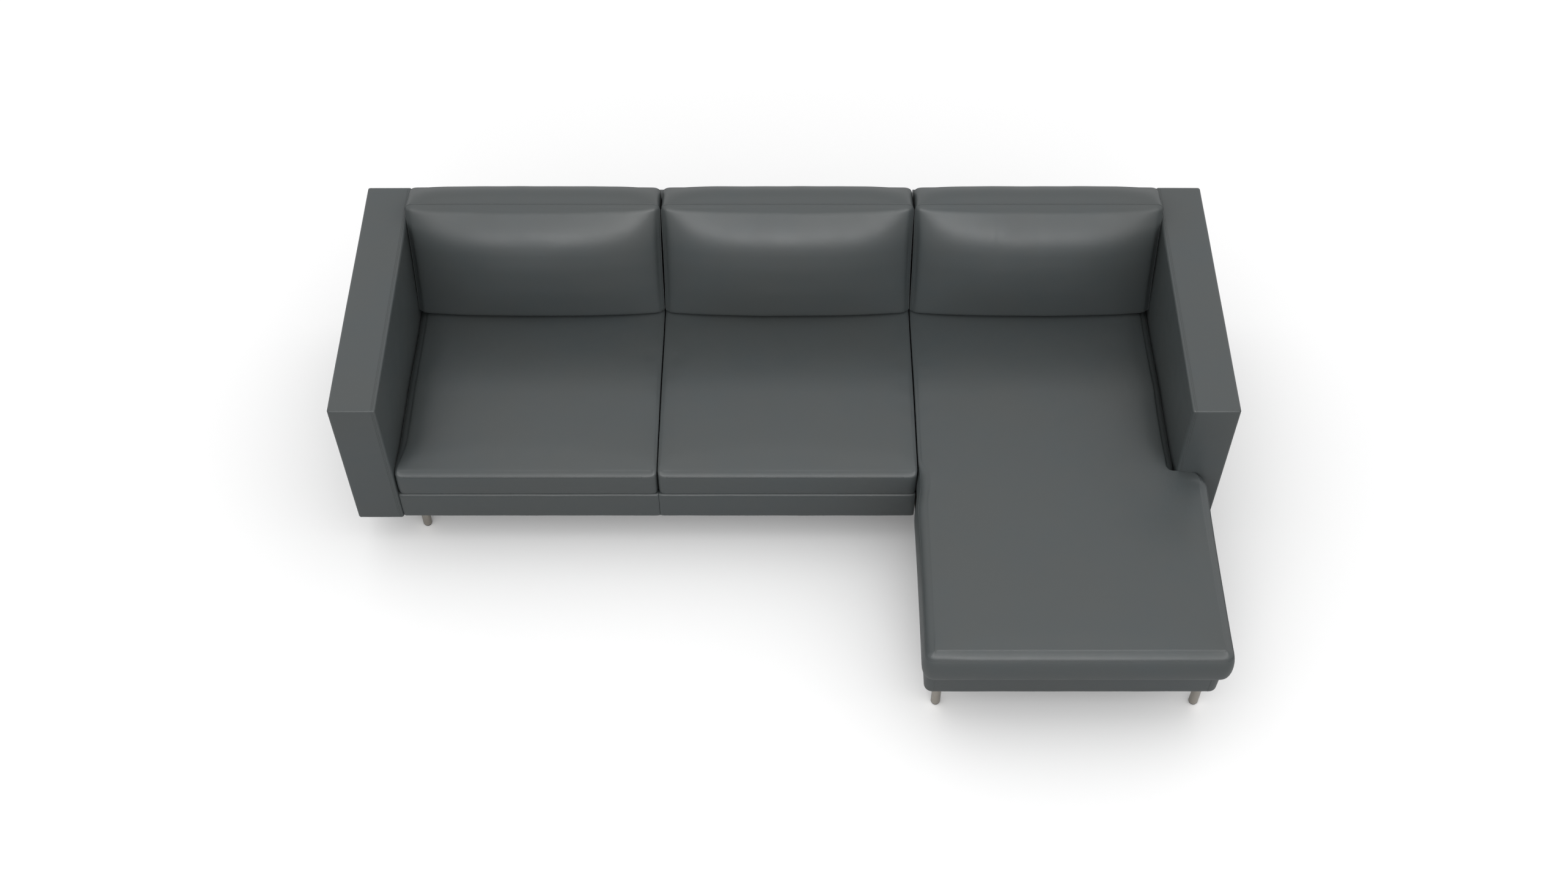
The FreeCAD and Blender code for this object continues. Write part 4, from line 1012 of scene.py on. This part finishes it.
def chaise_base():
    """The cover round the chaise base, with rounded front corners."""
    node, body = "chaise_base_cover", "chaise_module"
    corner_low, corner_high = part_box(node)
    right_end = low("right_arm_cover").y
    corners = [(corner_low.x, corner_low.y), (corner_high.x, corner_low.y)]
    path = [np.array((corner_low.x, y)) for y in
            spread(corner_high.y, corner_low.y + BASE_CORNER, 18 * MM)]
    for number, corner in enumerate(corners):
        side = 1 if number == 0 else -1
        centre = np.array([corner[0] + side * BASE_CORNER, corner[1] + BASE_CORNER])
        angles = np.radians(np.linspace(180, 270, 9) if number == 0 else np.linspace(270, 360, 9))
        if number == 1:
            xs = spread(corners[0][0] + BASE_CORNER, corners[1][0] - BASE_CORNER, 18 * MM)
            path += [np.array((x, corner[1])) for x in xs[1:-1]]
        path += [centre + BASE_CORNER * np.array([math.cos(a), math.sin(a)]) for a in angles]
    path += [np.array((corner_high.x, y)) for y in
             spread(corner_low.y + BASE_CORNER, right_end, 18 * MM)[1:]]
    kept = [path[0]]
    for point in path[1:]:
        if np.linalg.norm(point - kept[-1]) > 0.2 * MM:
            kept.append(point)
    path = np.array(kept)
    ahead = np.gradient(path, axis=0)
    outward = unit(np.stack([ahead[:, 1], -ahead[:, 0]], axis=1))
    piece = sweep_cover("chaise_base", node, body, path, outward, (False, True), 3.0)
    sewing = Sewing(piece)
    for x in (corner_low.x + BASE_CORNER + 4 * MM, corner_high.x - BASE_CORNER - 4 * MM):
        line = [(x, corner_low.y, z) for z in spread(corner_low.z + 4 * MM, corner_high.z - 4 * MM,
                                                     8 * MM)]
        sewing.welt(line, 0.8 * MM)
    sewing.make(body)


def back(module, body, seed):
    """The raked back of a module: padded leather, open underneath."""
    node = module + "_back_cover"
    corner_low, corner_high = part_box(node)
    deck = low("left_seat_cover").z - 0.3 * MM
    foot, rear, top = corner_low.y, corner_high.y, corner_high.z
    top_front = foot + (top - deck) * math.tan(BACK_LEAN)
    floor_z = corner_low.z
    outline = [(foot, floor_z), (foot, deck), (top_front, top), (rear, top), (rear, floor_z)]
    section = []
    for index, (y, z) in enumerate(outline[:-1]):
        after = outline[index + 1]
        if index in (2, 3):
            before = np.array(outline[index - 1])
            here, there = np.array((y, z)), np.array(after)
            start = here + unit(before - here) * BACK_ROUND
            end = here + unit(there - here) * BACK_ROUND
            for share in (0, 0.25, 0.5, 0.75, 1):
                mixed = (1 - share) ** 2 * start + 2 * share * (1 - share) * here + share ** 2 * end
                section.append(tuple(mixed))
            y, z = end
        steps = max(2, round(math.hypot(after[0] - y, after[1] - z) / (22 * MM)))
        first = 1 if index in (2, 3) else 0
        trim = BACK_ROUND if index in (1, 2) else 0.0
        length = math.hypot(after[0] - y, after[1] - z)
        for k in range(first, steps + (1 if index == 3 else 0)):
            share = min(k / steps, 1) * (length - trim) / length
            section.append((y + (after[0] - y) * share, z + (after[1] - z) * share))
    rise = 4.5 * MM
    section += [(rear - RAIL_WALL, floor_z), (rear - RAIL_WALL, floor_z + rise),
                (foot + RAIL_WALL, floor_z + rise), (foot + RAIL_WALL, floor_z)]
    section = np.array(section)
    xs = spread(corner_low.x + 0.4 * MM, corner_high.x - 0.4 * MM, 24 * MM)
    middle_z = (floor_z + top) / 2
    points = []
    for x in xs:
        inner = min(x - xs[0], xs[-1] - x)
        for y, z in section:
            bulge = (1.5 * MM * (1 - ((z - middle_z) / (top - middle_z)) ** 2)
                     * (1 - math.exp(-inner / (30 * MM))))
            soft = 0.6 * MM * wave((x, y, z), 6.0, seed) if z > floor_z + 10 * MM else 0.0
            outside = y > rear - 1 * MM
            points.append((x, y + (bulge + soft if outside else 0.0), z))
    piece = finish_mesh(module + "_back", points, skin(len(xs), len(section), flipped=True),
                        LEATHER_SKIN, body)
    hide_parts(node)
    sewing = Sewing(piece)
    sewing.welt([(x, rear, top - 16 * MM) for x in xs], 1.0 * MM)
    sewing.stitch([(x, rear + 1 * MM, top - 21 * MM) for x in xs[:-1]])
    for x in (xs[0] + 14 * MM, xs[-1] - 14 * MM):
        line = [(x, rear, z) for z in spread(floor_z + 4 * MM, top - 16 * MM, 20 * MM)]
        sewing.welt(line, 0.9 * MM)
    sewing.make(body)


def deck(module, body):
    """The cloth-covered pad that the seat cushions lie on."""
    node = module + "_deck_pad"
    if module == "sofa":
        piece, _ = padded_box("sofa_deck", node, body, 2 * MM, {(2, True): 0.3 * MM}, 30 * MM,
                              DECK_CLOTH)
    else:
        corner_low, corner_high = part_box(node)
        arm_in, arm_front = low("right_arm_cover").x, low("right_arm_cover").y
        parts = [PaddedBox(corner_low, (arm_in, corner_high.y, corner_high.z), 2 * MM, {}),
                 PaddedBox((arm_in - 6 * MM, corner_low.y, corner_low.z + 0.2 * MM),
                           (corner_high.x, arm_front, corner_high.z - 0.2 * MM), 2 * MM, {})]
        points, faces = [], []
        for part in parts:
            more, quads = weld(part.patches(30 * MM))
            faces += [tuple(index + len(points) for index in quad) for quad in quads]
            points += list(more)
        piece = finish_mesh("chaise_deck", points, faces, DECK_CLOTH, body)
        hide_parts(node)


def dress_frame():
    """Finishes for the CAD pieces that stay."""
    finishes = [("_leg", METAL), ("glide", NYLON), ("plate", STEEL), ("tongue", STEEL),
                ("socket", STEEL), ("bolt", STEEL), ("webbing", WEBBING), ("dust", DUST_CLOTH),
                ("panel", PLYWOOD)]
    for name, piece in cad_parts.items():
        chosen = [finish for key, finish in finishes if key in name]
        finish = chosen[-1] if "leg_" in name and chosen else (chosen[0] if chosen else TIMBER)
        piece.data.materials.clear()
        piece.data.materials.append(finish)


# The studio

FLOOR_REACH = 14.0


def studio():
    """Camera, floor, soft lamps and a white surround."""
    scene = bpy.context.scene
    camera = bpy.data.objects.new("camera", bpy.data.cameras.new("camera"))
    camera.data.lens, camera.data.sensor_width = CAMERA_LENS, SENSOR
    camera.location = CAMERA_PLACE
    camera.rotation_euler = (math.radians(CAMERA_PITCH), 0, 0)
    scene.collection.objects.link(camera)
    scene.camera = camera
    scene.view_settings.view_transform = "Standard"

    world = bpy.data.worlds.new("studio")
    world.use_nodes = True
    scene.world = world
    feed(world.node_tree.nodes["Background"], {"Color": (1.0, 1.0, 1.0, 1.0), "Strength": 1.0})

    def lamp(name, place, target, size, power, sheen_only=False):
        light = bpy.data.lights.new(name, "AREA")
        light.shape, light.size, light.size_y = "RECTANGLE", size[0], size[1]
        light.energy = power
        thing = bpy.data.objects.new(name, light)
        thing.location = place
        aim = Vector(target) - Vector(place)
        thing.rotation_euler = aim.to_track_quat("-Z", "Y").to_euler()
        thing.visible_diffuse = not sheen_only
        thing.visible_camera = False
        scene.collection.objects.link(thing)
    lamp("front_fill", (0.0, -6.0, 3.6), (0, 0.3, 0.4), (5.0, 2.0), 65)
    lamp("overhead", (0.0, 0.4, 5.4), (0, 0, 0), (5.0, 3.5), 20)
    lamp("sheen_strip", (0.0, -7.1, 3.6), (0, 0.3, 0.5), (7.0, 1.2), 140, True)
    lamp("sheen_high", (0.2, -3.3, 4.3), (0.2, -0.3, 0.35), (5.0, 0.6), 38, True)

    mesh = bpy.data.meshes.new("floor")
    reach = FLOOR_REACH
    mesh.from_pydata([(-reach, -reach, 0), (reach, -reach, 0), (reach, reach, 0),
                      (-reach, reach, 0)], [], [(0, 1, 2, 3)])
    floor = bpy.data.objects.new("floor", mesh)
    scene.collection.objects.link(floor)
    material, shader, _, add = new_material("pale_floor")
    seen = add("ShaderNodeLightPath").outputs["Is Camera Ray"]
    colour, glow = [add("ShaderNodeMapRange", {"Value": seen, "To Min": dark, "To Max": bright})
                    for dark, bright in ((0.50, 0.95), (0.0, 0.05))]
    feed(shader, {"Roughness": 0.9, "Specular IOR Level": 0.0, "Emission Color": (1, 1, 1, 1),
                  "Base Color": colour.outputs["Result"],
                  "Emission Strength": glow.outputs["Result"]})
    mesh.materials.append(material)


studio()
dress_frame()
arm("left", "sofa_module", 1)
arm("right", "chaise_module", -1)
straight_cover("left", 1.0)
straight_cover("right", 2.0)
chaise_base()
back("sofa", "sofa_module", 4.0)
back("chaise", "chaise_module", 5.0)
deck("sofa", "sofa_module")
deck("chaise", "chaise_module")
seat_cushion("left_seat", -1, 11.0)
seat_cushion("right_seat", 0, 12.0)
chaise_cushion()
back_cushion("left", "left_seat_cover", 21.0, [])
back_cushion("middle", "right_seat_cover", 22.0, [])
back_cushion("right", "chaise_cushion_cover", 23.0,
             [(0.16, 0.2, 1.6 * MM), (0.125, 0.24, 1.8 * MM), (0.0, 0.2, 0.5 * MM)])
